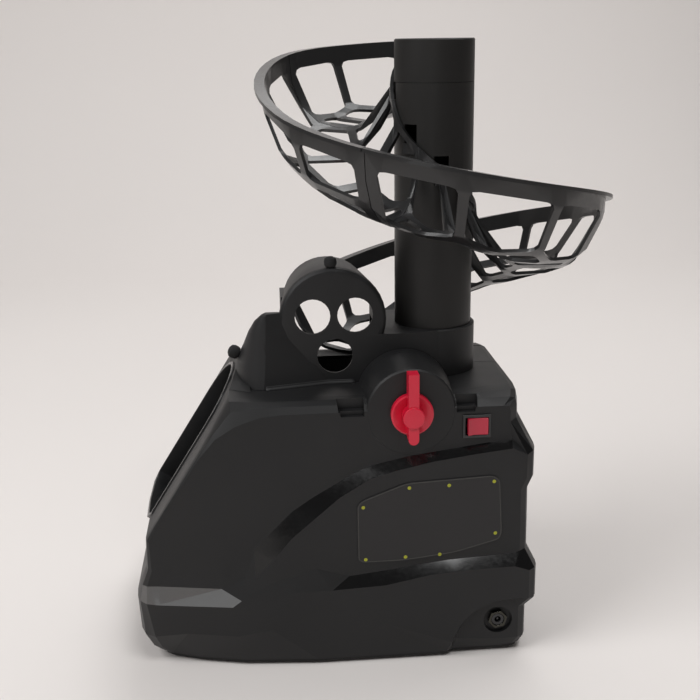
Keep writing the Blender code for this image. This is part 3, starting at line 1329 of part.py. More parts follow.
def make_arm():
    """Throw arm with its ball ring, pad, shaft, sector gear and spring lever."""
    pivot = (ARM_X, 0, ARM_Z)
    half = ARM_THICK / 2
    seat = half + 0.4
    bm = bmesh.new()
    beam = [(2, -ARM_WIDTH / 2), (ARM_LENGTH - CUP_HOLE_R - 2, -ARM_WIDTH / 2 + 3),
            (ARM_LENGTH - CUP_HOLE_R - 2, ARM_WIDTH / 2 - 3), (2, ARM_WIDTH / 2)]
    add_prism(bm, beam, "Z", -half, half)
    lay_on_arm(bm, ARM_REST)
    arm = collect("throw_arm", bm, "acetal", pivot, "arm_pivot")
    bm = bmesh.new()
    add_turned(bm, ring(CUP_HOLE_R, CUP_R, seat - CUP_HEIGHT, seat), (ARM_LENGTH, 0, 0), "Z", 24)
    lay_on_arm(bm, ARM_REST)
    combine(arm, cutter("arm_ring", bm), "UNION")
    bm = bmesh.new()
    add_turned(bm, [(0, -22), (10, -22), (10, 22), (0, 22)], (0, 0, 0), "Y", 24)
    lay_on_arm(bm, ARM_REST)
    combine(arm, cutter("arm_hub", bm), "UNION")
    bm = bmesh.new()
    add_turned(bm, [(0, -30), (SHAFT_R + GAP, -30), (SHAFT_R + GAP, 30), (0, 30)], pivot, "Y", 20)
    combine(arm, cutter("arm_bore", bm), "DIFFERENCE")
    bm = bmesh.new()
    add_turned(bm, ring(CUP_HOLE_R + 1, CUP_R - 1, seat + GAP, seat + GAP + PAD_HEIGHT),
               (ARM_LENGTH, 0, 0), "Z", 24)
    lay_on_arm(bm, ARM_REST)
    collect("ball_pad", bm, "rubber", pivot, "arm_pivot")
    bm = bmesh.new()
    add_turned(bm, rod(SHAFT_R, LEVER_Y - 3, GEAR_PLATE_Y + FRAME_THICK + 2), pivot, "Y", 20)
    collect("arm_shaft", bm, "steel", pivot, "arm_pivot")
    bm = bmesh.new()
    outline = gear_outline((ARM_X, ARM_Z), SECTOR_TEETH, SECTOR_MODULE, DRIVE_ANGLE, (-SECTOR_TEETH_BELOW, 2))
    first = outline[0]
    last = outline[-1]
    start = math.degrees(math.atan2(last[1] - ARM_Z, last[0] - ARM_X))
    end = math.degrees(math.atan2(first[1] - ARM_Z, first[0] - ARM_X))
    outline += arc((ARM_X, ARM_Z), 10, start + 50, end + 310, 10)
    add_plate(bm, outline, [circle((ARM_X, ARM_Z), SHAFT_R + GAP)], SECTOR_Y, SECTOR_Y + GEAR_WIDTH)
    collect("sector_gear", bm, "acetal", pivot, "arm_pivot")
    bm = bmesh.new()
    pin = polar((ARM_X, ARM_Z), LEVER_R, LEVER_ANGLE)
    outline = arc((ARM_X, ARM_Z), 9, LEVER_ANGLE + 75, LEVER_ANGLE + 285, 12)
    outline += arc(pin, 5, LEVER_ANGLE - 80, LEVER_ANGLE + 80, 8)
    add_plate(bm, outline, [circle((ARM_X, ARM_Z), SHAFT_R + GAP)], LEVER_Y, LEVER_Y + LEVER_THICK)
    lever = collect("spring_lever", bm, "zinc_steel", pivot, "arm_pivot")
    bm = bmesh.new()
    add_turned(bm, [(0, SPRING_Y - 4), (PIN_R, SPRING_Y - 4), (PIN_R, LEVER_Y + 2), (0, LEVER_Y + 2)],
               (pin[0], 0, pin[1]), "Y", 12)
    combine(lever, cutter("lever_pin", bm), "UNION")


def make_spring():
    """Throw spring as one wound wire between two hooks, and its anchor pin."""
    x, low, high = spring_line()
    hook = PIN_R + WIRE_R + GAP
    path = [(x + hook * math.sin(deg(a)), SPRING_Y, low - hook * math.cos(deg(a))) for a in range(-120, 91, 30)]
    coil_low = low + HOOK_RISE
    coil_high = high - HOOK_RISE
    curl = 9
    for i in range(SPRING_TURNS * curl + 1):
        a = math.tau * i / curl
        z = coil_low + (coil_high - coil_low) * i / (SPRING_TURNS * curl)
        path.append((x + SPRING_R * math.cos(a), SPRING_Y + SPRING_R * math.sin(a), z))
    path += [(x + hook * math.sin(deg(a)), SPRING_Y, high + hook * math.cos(deg(-a)))
             for a in range(90, -121, -30)]
    least = least_gap([Vector(p) for p in path], WIRE_R, curl)
    print(f"throw spring: least gap between turns {least:.2f} mm")
    curve = bpy.data.curves.new("throw_spring", "CURVE")
    curve.dimensions = "3D"
    curve.bevel_depth = WIRE_R * MM
    curve.bevel_resolution = 1
    curve.use_fill_caps = True
    line = curve.splines.new("POLY")
    line.points.add(len(path) - 1)
    for point, spot in zip(line.points, path):
        point.co = (*(Vector(spot) * MM), 1.0)
    made = bpy.data.objects.new("throw_spring", curve)
    bpy.context.scene.collection.objects.link(made)
    made.parent = PARENTS["machine"]
    curve.materials.append(material("steel", *FINISHES["steel"]))
    bm = bmesh.new()
    outer = FRAME_Y + FRAME_THICK
    add_turned(bm, [(0, SPRING_Y - 4), (PIN_R, SPRING_Y - 4), (PIN_R, -outer - 3), (6, -outer - 3),
                    (6, -outer - GAP), (0, -outer - GAP)], (x, 0, high), "Y", 12)
    collect("spring_anchor", bm, "zinc_steel")


def least_gap(path, radius, apart):
    """Least space between stretches of a wire that are some points apart."""
    best = 1e9
    for i, a in enumerate(path):
        for b in path[i + apart - 2:]:
            best = min(best, (a - b).length - 2 * radius)
    return best


def gear_outline(centre, teeth, module, facing, span=None, gap=False):
    """Outline of a spur gear with a tooth, or a gap, that faces a direction."""
    pitch = 360 / teeth
    r = teeth * module / 2
    root, tip = r - 1.2 * module, r + 0.85 * module
    first, last = (0, teeth) if span is None else span
    turned = facing + (pitch / 2 if gap else 0)
    outline = []
    for i in range(first, last):
        middle = turned + i * pitch
        for radius, share in ((root, -0.30), (tip, -0.09), (tip, 0.09), (root, 0.30)):
            outline.append(polar(centre, radius, middle + share * pitch))
    return outline


def make_gears():
    """Drive shaft with its pinion and wheel, and the motor with its pinion."""
    wheel = drive_centre()
    pivot = (wheel[0], 0, wheel[1])
    bore = circle(wheel, DRIVE_SHAFT_R + GAP, 16)
    bm = bmesh.new()
    add_turned(bm, rod(DRIVE_SHAFT_R, FRAME_Y, GEAR_PLATE_Y + FRAME_THICK + 1), pivot, "Y", 16)
    collect("drive_shaft", bm, "steel", pivot, "drive_pivot")
    bm = bmesh.new()
    outline = gear_outline(wheel, DRIVE_PINION_TEETH, SECTOR_MODULE, DRIVE_ANGLE + 180, gap=True)
    add_plate(bm, outline, [bore], SECTOR_Y, SECTOR_Y + GEAR_WIDTH)
    collect("drive_pinion", bm, "acetal", pivot, "drive_pivot")
    bm = bmesh.new()
    outline = gear_outline(wheel, WHEEL_TEETH, WHEEL_MODULE, MOTOR_ANGLE)
    add_plate(bm, outline, [bore], WHEEL_Y, WHEEL_Y + WHEEL_WIDTH)
    collect("drive_wheel", bm, "acetal", pivot, "drive_pivot")
    motor = motor_centre()
    pivot = (motor[0], 0, motor[1])
    bm = bmesh.new()
    outline = gear_outline(motor, MOTOR_PINION_TEETH, WHEEL_MODULE, MOTOR_ANGLE + 180, gap=True)
    add_plate(bm, outline, [circle(motor, MOTOR_SHAFT_R + GAP, 12)], WHEEL_Y, WHEEL_Y + WHEEL_WIDTH)
    collect("motor_pinion", bm, "bronze", pivot, "motor_pivot")
    front = FRAME_Y - GAP
    bm = bmesh.new()
    add_turned(bm, rod(MOTOR_SHAFT_R, front - 8 + GAP, WHEEL_Y + WHEEL_WIDTH + 2), pivot, "Y", 12)
    collect("motor_shaft", bm, "steel", pivot, "motor_pivot")
    bm = bmesh.new()
    back = front - MOTOR_LENGTH
    add_turned(bm, [(MOTOR_SHAFT_R + GAP, FRAME_Y + FRAME_THICK), (MOTOR_SHAFT_R + GAP, front - 8), (0, front - 8),
                    (0, back), (MOTOR_R - 2, back), (MOTOR_R, back + 2), (MOTOR_R, front),
                    (MOTOR_NOSE_R, front), (MOTOR_NOSE_R, FRAME_Y + FRAME_THICK)], pivot, "Y", 20)
    collect("motor", bm, "zinc_steel")


def make_feed():
    """Ball chute and the feed gate that shuts it."""
    ceiling = DECK_Z - CASE_WALL - GAP
    inner, outer = CHUTE_HALF, CHUTE_HALF + CHUTE_WALL
    bm = bmesh.new()
    add_box(bm, (CHUTE_LEFT - CHUTE_WALL, -outer, CHUTE_BOTTOM), (CHUTE_RIGHT + CHUTE_WALL + GAP, outer, ceiling))
    chute = collect("ball_chute", bm, "grey_abs")
    bm = bmesh.new()
    add_box(bm, (CHUTE_LEFT, -inner, CHUTE_BOTTOM - 10), (CHUTE_RIGHT + GAP, inner, ceiling + 10))
    combine(chute, cutter("chute_way", bm), "DIFFERENCE")
    bm = bmesh.new()
    add_box(bm, (CHUTE_LEFT - 10, -outer - 5, CHUTE_BOTTOM - 10), (CHUTE_LEFT + 14, outer + 5, CHUTE_LEFT_BOTTOM))
    combine(chute, cutter("chute_front_cut", bm), "DIFFERENCE")
    bm = bmesh.new()
    add_box(bm, (CHUTE_RIGHT - 2, -outer - 5, GATE_Z - GATE_LENGTH - 5), (CHUTE_RIGHT + 14, outer + 5, ceiling + 5))
    combine(chute, cutter("chute_gate_cut", bm), "DIFFERENCE")
    pivot = (GATE_X, 0, GATE_Z)
    reach = FRAME_Y - GAP
    bm = bmesh.new()
    end = FRAME_Y + FRAME_THICK
    add_turned(bm, [(0, -end), (GATE_PIN_R, -end), (GATE_PIN_R, -reach), (GATE_SHAFT_R, -reach), (GATE_SHAFT_R, reach),
                    (GATE_PIN_R, reach), (GATE_PIN_R, end), (0, end)], pivot, "Y", 16)
    gate = collect("feed_gate", bm, "acetal", pivot, "gate_pivot")
    bm = bmesh.new()
    add_box(bm, (GATE_X - 1.5, -GATE_HALF, GATE_Z - GATE_LENGTH), (GATE_X + 1.5, GATE_HALF, GATE_Z))
    combine(gate, cutter("gate_flap", bm), "UNION")


def make_power():
    """Battery box with its cells, the circuit board and the power inlet."""
    ceiling = DECK_Z - CASE_WALL - GAP
    wall = 2.4
    y0, y1 = BOX_Y, BOX_Y + CELL_LENGTH + 2 * (wall + CONTACT_THICK + 2 * GAP) + 2.0
    x0 = BOX_X
    depth = 2 * CELL_R + wall + 1.5
    pitch = 2 * CELL_R + 1.0
    z0 = ceiling - BOX_TOP - CELL_COUNT * pitch - wall
    bm = bmesh.new()
    add_box(bm, (x0, y0, z0), (x0 + depth, y1, ceiling))
    box = collect("battery_box", bm, "grey_abs")
    bm = bmesh.new()
    add_box(bm, (x0 + wall, y0 + wall, z0 + wall), (x0 + depth + 5, y1 - wall, ceiling - BOX_TOP))
    combine(box, cutter("battery_hollow", bm), "DIFFERENCE")
    bm = bmesh.new()
    add_box(bm, (x0 + BOX_RIB, y0 - 5, ceiling - BOX_TOP + wall), (x0 + depth + 5, y1 + 5, ceiling + 5))
    combine(box, cutter("battery_rib_cut", bm), "DIFFERENCE")
    middle = x0 + wall + GAP + CELL_R
    for name, y in (("near", y0 + wall + GAP), ("far", y1 - wall - GAP - CONTACT_THICK)):
        bm = bmesh.new()
        add_box(bm, (middle - 8, y, z0 + wall + 4), (middle + 8, y + CONTACT_THICK, ceiling - BOX_TOP - 4))
        collect(f"contact_{name}", bm, "nickel")
    first = y0 + wall + 2 * GAP + CONTACT_THICK
    last = y1 - wall - 2 * GAP - CONTACT_THICK
    for i in range(CELL_COUNT):
        z = z0 + wall + pitch * (i + 0.5)
        tall = last - first
        profile = [(0, 0), (CELL_R - 1, 0), (CELL_R, 1), (CELL_R, tall - 3), (CELL_R - 1, tall - 2), (3, tall - 2),
                   (3, tall), (0, tall)]
        if i % 2:
            profile = [(r, tall - h) for r, h in profile]
        bm = bmesh.new()
        add_turned(bm, [(r, first + h) for r, h in profile], (middle, 0, z), "Y", 16)
        collect(f"battery_{i + 1}", bm, "cell_wrap")
    bm = bmesh.new()
    add_box(bm, (BOARD_X, BOARD_Y, BOARD_Z), (BOARD_X + BOARD_W, BOARD_Y + BOARD_D, BOARD_Z + 1.6))
    board = collect("circuit_board", bm, "board")
    for number, (x, y, w, d, h) in enumerate(((8, 10, 19, 15, 15), (34, 12, 12, 12, 9), (34, 30, 16, 8, 6))):
        bm = bmesh.new()
        add_box(bm, (BOARD_X + x, BOARD_Y + y, BOARD_Z + 1), (BOARD_X + x + w, BOARD_Y + y + d, BOARD_Z + 1.6 + h))
        combine(board, cutter(f"board_part_{number}", bm), "UNION")
    plate = bpy.data.objects["base_plate"]
    for number, (sx, sy) in enumerate(((0, 0), (0, 1), (1, 0), (1, 1))):
        x = BOARD_X + 5 + sx * (BOARD_W - 10)
        y = BOARD_Y + 5 + sy * (BOARD_D - 10)
        bm = bmesh.new()
        add_turned(bm, rod(3.0, CASE_BOTTOM - 2, BOARD_Z - GAP), (x, y, 0), "Z", 12)
        combine(plate, cutter(f"board_post_{number}", bm), "UNION")
    floor = -(JACK_PANEL_DEPTH - 4.0)
    bm = bmesh.new()
    inner = floor + CASE_WALL + GAP
    add_turned(bm, [(JACK_HOLE_R, floor - 3.5), (JACK_BARREL_R, floor - 3.5), (JACK_BARREL_R, inner), (7.5, inner),
                    (7.5, inner + 12), (0, inner + 12), (0, floor - 2), (1.05, floor - 2), (1.05, inner + 8),
                    (JACK_HOLE_R, inner + 8)], (JACK_X, 0, JACK_Z), "Y", 24)
    collect("power_inlet", bm, "bezel_abs")
    bm = bmesh.new()
    hexagon = [polar((JACK_X, JACK_Z), JACK_NUT_R, 60 * i + 12) for i in range(6)]
    add_plate(bm, hexagon, [circle((JACK_X, JACK_Z), JACK_BARREL_R + GAP, 24)], floor - 4.3, floor - GAP)
    collect("inlet_nut", bm, "nickel")


def make_controls():
    """Dial, selector switch, rocker switch and label."""
    face = -(UPPER_DEPTH + BOSS_PROUD)
    pivot = (DIAL_X, 0, DIAL_Z)
    bm = bmesh.new()
    add_turned(bm, [(0, face - 4), (9.0, face - 4), (DIAL_R - 1.4, face - 6.2), (DIAL_R, face - 5.4),
                    (DIAL_R, face - GAP), (0, face - GAP)], pivot, "Y", 32)
    dial = collect("dial_knob", bm, "red_abs", pivot, "dial_pivot")
    bm = bmesh.new()
    half = POINTER_WIDTH / 2
    outline = arc((DIAL_X, DIAL_Z - POINTER_DOWN + half), half, 180, 360, 8)
    outline += [(DIAL_X + half, DIAL_Z + POINTER_UP), (DIAL_X - half, DIAL_Z + POINTER_UP)]
    add_prism(bm, outline, "Y", face - 14, face - 1.0)
    combine(dial, cutter("dial_pointer", bm), "UNION")
    bm = bmesh.new()
    add_turned(bm, [(0, face - 13), (9.0, face - 13), (9.0, face - 2), (0, face - 2)], pivot, "Y", 24)
    combine(dial, cutter("dial_hub", bm), "UNION")
    bm = bmesh.new()
    add_turned(bm, [(0, face - 9), (3.3, face - 9), (3.3, face + 3), (0, face + 3)], pivot, "Y", 16)
    combine(dial, cutter("dial_bore", bm), "DIFFERENCE")
    inner = face + CASE_WALL + GAP
    bm = bmesh.new()
    add_turned(bm, rod(3.0, face - 8.7, inner + 21.7), pivot, "Y", 16)
    collect("dial_shaft", bm, "steel", pivot, "dial_pivot")
    bm = bmesh.new()
    add_turned(bm, [(3.35, inner), (7, inner), (7, inner + 4), (13, inner + 4), (13, inner + 25), (0, inner + 25),
                    (0, inner + 22), (3.35, inner + 22)], pivot, "Y", 20)
    collect("selector_switch", bm, "switch_black")
    wall = -UPPER_DEPTH
    half_w, half_h = SWITCH_W / 2, SWITCH_H / 2
    bm = bmesh.new()
    add_box(bm, (SWITCH_X - half_w, wall - 1.6, SWITCH_Z - half_h), (SWITCH_X + half_w, wall - GAP, SWITCH_Z + half_h))
    bezel = collect("switch_bezel", bm, "switch_black")
    bm = bmesh.new()
    add_box(bm, (SWITCH_X - half_w + 1.5, wall - 1, SWITCH_Z - half_h + 1.5),
            (SWITCH_X + half_w - 1.5, wall + 14, SWITCH_Z + half_h - 1.5))
    combine(bezel, cutter("switch_body", bm), "UNION")
    bm = bmesh.new()
    pocket_w, pocket_h = ROCKER_W / 2 + 0.6, ROCKER_H / 2 + 0.4
    add_box(bm, (SWITCH_X - pocket_w, wall - 5, SWITCH_Z - pocket_h), (SWITCH_X + pocket_w, wall + 11, SWITCH_Z + pocket_h))
    combine(bezel, cutter("switch_pocket", bm), "DIFFERENCE")
    axis_y = wall + 3.5
    half = ROCKER_W / 2 - 0.6
    outline = [(-half, -7.0), (-2.5, -5.4), (half, -7.2), (half - 0.5, -1.5), (2.5, 4.0), (-2.5, 4.0), (-half + 0.5, -1.5)]
    turn = Matrix.Rotation(deg(ROCKER_TILT), 2)
    outline = [turn @ Vector(p) + Vector((SWITCH_X, axis_y)) for p in outline]
    bm = bmesh.new()
    add_prism(bm, [tuple(p) for p in outline], "Z", SWITCH_Z - ROCKER_H / 2, SWITCH_Z + ROCKER_H / 2)
    collect("rocker", bm, "red_abs", (SWITCH_X, axis_y, SWITCH_Z), "rocker_pivot")
    bm = bmesh.new()
    corners = [Vector(p) for p in LABEL_OUTLINE]
    outline = [tuple(p) for p in rounded(corners, 6.0, 2)]
    spots, faces = triangulate(outline, [], [], [])
    add_shell(bm, spots, faces, lambda x, z: Vector((x, -label_depth(z) - GAP - LABEL_THICK, z)),
              lambda x, z: Vector((0, -1, 0)), LABEL_THICK)
    collect("label_plate", bm, "label_vinyl")


def main():
    """Build the whole machine."""
    for old in list(bpy.data.objects):
        bpy.data.objects.remove(old, do_unlink=True)
    root = bpy.data.objects.new("machine", None)
    bpy.context.scene.collection.objects.link(root)
    PARENTS["machine"] = root
    wheel = drive_centre()
    motor = motor_centre()
    holder("arm_pivot", (ARM_X, 0, ARM_Z))
    holder("drive_pivot", (wheel[0], 0, wheel[1]))
    holder("motor_pivot", (motor[0], 0, motor[1]))
    holder("gate_pivot", (GATE_X, 0, GATE_Z))
    holder("dial_pivot", (DIAL_X, 0, DIAL_Z))
    holder("rocker_pivot", (SWITCH_X, -UPPER_DEPTH + 3.5, SWITCH_Z))
    holder("door_hinge", (DOOR_HINGE_X, 0, DOOR_Z))
    make_casing()
    make_base()
    make_column()
    make_rail()
    make_tower(bpy.data.objects["mouth_cutter"])
    make_front_bumper(bpy.data.objects["tower_cover"])
    make_frames()
    make_arm()
    make_spring()
    make_gears()
    make_feed()
    make_power()
    make_controls()


if __name__ == "__main__":
    main()
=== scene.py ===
import math

import bmesh
import bpy
from mathutils import Matrix, Vector
from mathutils.bvhtree import BVHTree


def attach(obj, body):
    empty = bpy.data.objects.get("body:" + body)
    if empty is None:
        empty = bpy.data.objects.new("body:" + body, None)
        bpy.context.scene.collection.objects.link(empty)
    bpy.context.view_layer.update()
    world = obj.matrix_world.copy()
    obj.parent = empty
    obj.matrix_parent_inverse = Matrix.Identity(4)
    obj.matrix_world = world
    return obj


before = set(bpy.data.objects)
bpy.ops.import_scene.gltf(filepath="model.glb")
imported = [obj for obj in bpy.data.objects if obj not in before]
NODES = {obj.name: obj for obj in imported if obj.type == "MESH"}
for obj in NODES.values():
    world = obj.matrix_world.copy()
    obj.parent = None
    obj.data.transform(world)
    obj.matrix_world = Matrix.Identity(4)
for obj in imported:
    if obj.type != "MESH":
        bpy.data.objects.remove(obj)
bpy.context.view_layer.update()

bl_info = {
    "name": "Toss machine looks",
    "version": (1, 0, 0),
    "blender": (4, 5, 0),
    "location": "3D View > Sidebar > Toss machine",
    "description": "Dresses the CAD frame of a ball toss machine with finishes and fine detail",
    "category": "Object",
}

MM = 0.001

# Places and shapes below are in millimetres in the frame's axes, unless a comment says otherwise.

# Outlines of the polished areas of the shell's side walls, as x and z, from the front to the back
SWEEP_UPPER = [(-113.7, 112.5), (-96.6, 129.7), (-79.5, 146.7), (-62.4, 158.4), (-45.7, 168.3),
               (-28.9, 178.0), (-12.2, 186.1), (22.8, 193.6), (55.9, 198.0), (96.2, 203.5), (113.0, 204.5),
               (132.5, 213.0), (150.0, 213.0)]
SWEEP_LOWER = [(-113.0, 88.0), (-97.0, 104.0), (-80.6, 124.0), (-60.0, 142.0), (-38.0, 161.0),
               (-12.0, 177.0), (10.2, 183.5), (42.8, 190.5), (77.8, 195.5), (112.0, 199.5), (150.0, 200.0)]
STEP_UPPER = [(-31.0, 84.4), (1.8, 88.3), (56.3, 95.4), (116.0, 98.5), (129.0, 103.0), (150.0, 103.0)]
STEP_LOWER = [(-46.0, 74.0), (0.8, 77.5), (41.5, 85.4), (75.5, 88.0), (116.0, 89.1), (138.0, 90.0),
              (150.0, 90.0)]
FACET_UPPER = [(-230.0, 83.0), (-208.0, 82.5), (-198.0, 82.3), (-143.3, 78.5), (-126.0, 68.5)]
FACET_LOWER = [(-230.0, 67.5), (-209.0, 67.0), (-200.0, 66.0), (-134.0, 62.5)]
POLISHED_AREAS = {
    "band": [SWEEP_UPPER + SWEEP_LOWER[::-1], STEP_UPPER + STEP_LOWER[::-1]],
    "polished": [FACET_UPPER + FACET_LOWER[::-1]],
}
# A face belongs to a side wall from this far out, and from this share of its normal pointing sideways
WALL_FROM_Y = 60.0
WALL_SIDEWAYS = 0.3

# Distance from the middle at which the rays that look for a surface start
OUTSIDE = 200.0

# Corners of a full turn on the screws, the label's dots and the dial's cap
SCREW_STEPS = 32
DOT_STEPS = 24
CAP_STEPS = 48

# Screw places: x and z on the far wall, x and y under the base
FAR_SCREWS = [(-150.0, 60.0), (-150.0, 130.0), (-95.0, 190.0), (-20.0, 215.0), (85.0, 215.0), (95.0, 60.0),
              (-30.0, 60.0), (95.0, 140.0)]
BASE_SCREWS = [(-165.0, 0.0), (-60.0, -88.0), (-60.0, 88.0), (20.0, 0.0), (100.0, -60.0), (100.0, 60.0)]
# Moulded ring round a screw, as distance outside the head and height
SCREW_RING = [(0.4, -0.6), (1.8, -0.6), (1.8, 0.25), (1.4, 0.5), (0.8, 0.5), (0.4, 0.25)]
# Pan head, as share of its radius and height
SCREW_HEAD = [(0, -0.6), (1, -0.6), (1, 0.5), (6 / 7, 1.1), (0.6, 1.5), (0, 1.6)]
# Cross recess: half width and reach of an arm as shares of the head's radius, and the heights of the cutter
RECESS_HALF = 0.1
RECESS_REACH = 0.62
RECESS_FLOOR = 0.5
RECESS_TOP = 3.0
# The second arm's cutter is shorter by this at both ends, so that no faces of the two lie in one plane
RECESS_STEP = 0.1
RECESS_EDGE = 0.1

# Fillet at the near foot of the tower: the x of its points, its height, the height at which the tower's
# wall is looked for, its radius, and how far it is sunk into the wall and lifted off the deck
FILLET_XS = range(-98, -15, 4)
FILLET_Z = 245.6
FILLET_WALL_Z = 248.5
FILLET_RADIUS = 3.0
FILLET_SUNK = 0.6
FILLET_LIFT = 0.1
FILLET_ANGLES = range(15, 91, 15)

# Grip ribs of the battery door: place of the lowest, spacing, and one rib as a block along the door's width,
# its height and outwards
DOOR_RIBS = 5
DOOR_RIB_Y = 31.5
DOOR_RIB_Z = 140.0
DOOR_RIB_SPACING = 3.2
DOOR_RIB_LOW = (-14, -0.7, -0.4)
DOOR_RIB_HIGH = (14, 0.7, 0.8)
DOOR_RIB_EDGE = 0.35
DOOR_TURN = Matrix(((0, 0, 1), (1, 0, 0), (0, 1, 0))).to_4x4()

# Print on the label: x and z of its dots, the edge line's distance from the rim and its width, and how far
# the ink is sunk into the film and stands out of it
LABEL_DOTS = [(-18.1, 150.7), (22.0, 167.2), (56.8, 167.9), (96.3, 169.6), (98.8, 119.7), (49.5, 101.6),
              (19.0, 100.8), (-16.2, 100.2)]
LINE_MARGIN = 0.8
LINE_WIDTH = 0.45
PRINT_SUNK = 0.1
PRINT_RISE = 0.05
# The film's front faces have a normal with a y below this
FRONT_NORMAL = -0.9

# Corners closer than this are one corner
MERGE = 0.01

# Round cap in the middle of the dial: its place, and its profile as radius and height
DIAL_CAP_SPOT = (25.0, -110.75, 233.0)
DIAL_CAP = [(0, -1.5), (9.4, -1.5), (9.4, 1.4), (9.1, 1.9), (8.4, 2.1), (0, 2.2)]

# Inner pieces by finish
MECHANISM = {
    "acetal": ("throw_arm", "sector_gear", "drive_pinion", "drive_wheel", "feed_gate"),
    "steel": ("arm_shaft", "drive_shaft", "motor_shaft", "dial_shaft"),
    "zinc": ("spring_lever", "motor", "stop_bar", "rest_bar", "spring_anchor"),
    "spring": ("throw_spring",),
    "bronze": ("motor_pinion", "arm_bush_near", "arm_bush_far"),
    "grey": ("ball_chute", "frame_near", "frame_far", "gear_plate", "battery_box"),
    "rubber": ("ball_pad", "stop_buffer", "rest_buffer"),
    "switch": ("selector_switch",),
    "nickel": ("contact_near", "contact_far"),
    "sleeve": ("battery_1", "battery_2", "battery_3", "battery_4"),
    "board": ("circuit_board",),
}

# Backdrop: half its width, the front and the back of its flat floor, the radius of its bend, and its top
BACKDROP_HALF = 5000.0
BACKDROP_FRONT = -3000.0
BACKDROP_BACK = 1600.0
BACKDROP_RADIUS = 900.0
BACKDROP_TOP = 4000.0
BACKDROP_ANGLES = range(6, 91, 6)

# Soft area lights: name, place, target and size in metres, and power in watts
LIGHTS = [
    ("key_light", (-1.9, -0.9, 2.2), (0, 0, 0.1), (1.6, 1.6), 45),
    ("back_light", (0.6, 1.3, 2.6), (0, 0.9, 0), (2.6, 1.2), 34),
    ("front_light", (0.4, -1.4, 2.7), (0, -1.1, 0), (1.0, 0.5), 25),
    ("card_light", (-0.8, -2.9, 0.45), (-0.1, 0, 0.2), (0.8, 0.9), 2.2),
]
ROOM_COLOUR = "#F3EFEC"
ROOM_STRENGTH = 0.15

# Camera: place in metres, direction of view, roll in degrees, and lens and sensor width in millimetres
CAMERA_SPOT = (-0.1040, -0.9763, 0.5451)
CAMERA_LOOK = (0.0838, 0.9573, -0.2768)
CAMERA_ROLL = -0.805
CAMERA_LENS = 56.57
CAMERA_SENSOR = 36.0


# Sizes and colours that a user would change

def colour(name, about, value):
    """A colour property that is written as an sRGB hex value."""
    return bpy.props.StringProperty(name=name, description=about, default=value)


def length(name, about, value):
    """A length property in metres, with its default in millimetres."""
    return bpy.props.FloatProperty(name=name, description=about, default=value * MM, unit="LENGTH",
                                   precision=5)


class TossColours(bpy.types.PropertyGroup):
    """Colours of the moulded and printed surfaces."""

    shell: colour("Shell", "Textured shell plastic", "#1A1A1B")
    polished: colour("Polished", "Polished bands of the shell", "#09090A")
    tower: colour("Tower", "Tower and hood plastic", "#1D1D1E")
    column: colour("Column", "Feed column plastic", "#1C1B1A")
    rail: colour("Rail", "Feed rail plastic", "#1A1A1B")
    dial: colour("Dial", "Dial plastic", "#CF0B32")
    rocker: colour("Rocker", "Rocker plastic", "#B81E39")
    label: colour("Label", "Vinyl film of the label", "#232223")
    ink: colour("Ink", "Printed dots on the label", "#A3A52F")
    border: colour("Border", "Printed edge line of the label", "#4A4A46")
    floor: colour("Floor", "Floor and backdrop", "#E6E1DE")


class TossSizes(bpy.types.PropertyGroup):
    """Sizes of the fine detail."""

    shell_edge: length("Shell edge", "Rounding of the shell's folds and rims", 1.6)
    tower_edge: length("Tower edge", "Rounding of the tower's folds and rims", 1.2)
    rail_edge: length("Rail edge", "Rounding of the rail's ribs", 0.8)
    mouth_edge: length("Mouth edge", "Rounding of the mouth's rim", 0.8)
    dial_edge: length("Dial edge", "Rounding of the dial", 0.7)
    nut_edge: length("Nut edge", "Rounding of the inlet's nut", 0.6)
    rocker_edge: length("Rocker edge", "Rounding of the rocker", 0.5)
    column_edge: length("Column edge", "Rounding of the column and its cap", 0.5)
    small_edge: length("Small edge", "Rounding of small parts", 0.35)
    label_edge: length("Label edge", "Rounding of the label's film", 0.1)
    grain: length("Grain", "Width of the shell's moulded grain", 0.55)
    dot: length("Label dot", "Diameter of a printed dot", 3.2)
    screw: length("Screw", "Head diameter of the shell's screws", 7.0)


# Materials

def linear(value):
    """sRGB hex text to a linear colour with alpha."""
    parts = [int(value[i:i + 2], 16) / 255 for i in (1, 3, 5)]
    return tuple(c / 12.92 if c <= 0.04045 else ((c + 0.055) / 1.055) ** 2.4 for c in parts) + (1.0,)


def scaled(value, factor):
    """A colour made lighter or darker, alpha kept."""
    return tuple(min(1.0, c * factor) for c in value[:3]) + (1.0,)


def per_metre(spacing):
    """Scale of a pattern whose features are this many millimetres apart."""
    return 1.0 / (spacing * MM)


def set_sockets(node, **settings):
    """Set a node's sockets and properties by name, with underscores for spaces."""
    for key, value in settings.items():
        socket = key.replace("_", " ")
        if socket in node.inputs:
            node.inputs[socket].default_value = value
        else:
            setattr(node, key, value)


def add_node(made, kind, takes, gives=None, **settings):
    """Add a shader node with its settings, the sockets that it takes and the ones that its outputs feed."""
    node = made.node_tree.nodes.new(kind)
    set_sockets(node, **settings)
    for key, source in takes.items():
        made.node_tree.links.new(source, node.inputs[key])
    for key, target in (gives or {}).items():
        made.node_tree.links.new(node.outputs[key], target)
    return node


def new_material(name, base, roughness, **looks):
    """Material with its shader's looks set, the shader's inputs, and the coordinates for its patterns."""
    made = bpy.data.materials.new(name)
    made.use_nodes = True
    shader = made.node_tree.nodes["Principled BSDF"]
    set_sockets(shader, Base_Color=base, Roughness=roughness, **looks)
    place = add_node(made, "ShaderNodeTexCoord", {})
    return made, shader.inputs, place.outputs["Object"]


# Most of a noise lies between these values, which a pattern stretches over its own range
NOISE_RANGE = {"From_Min": 0.3, "From_Max": 0.7}
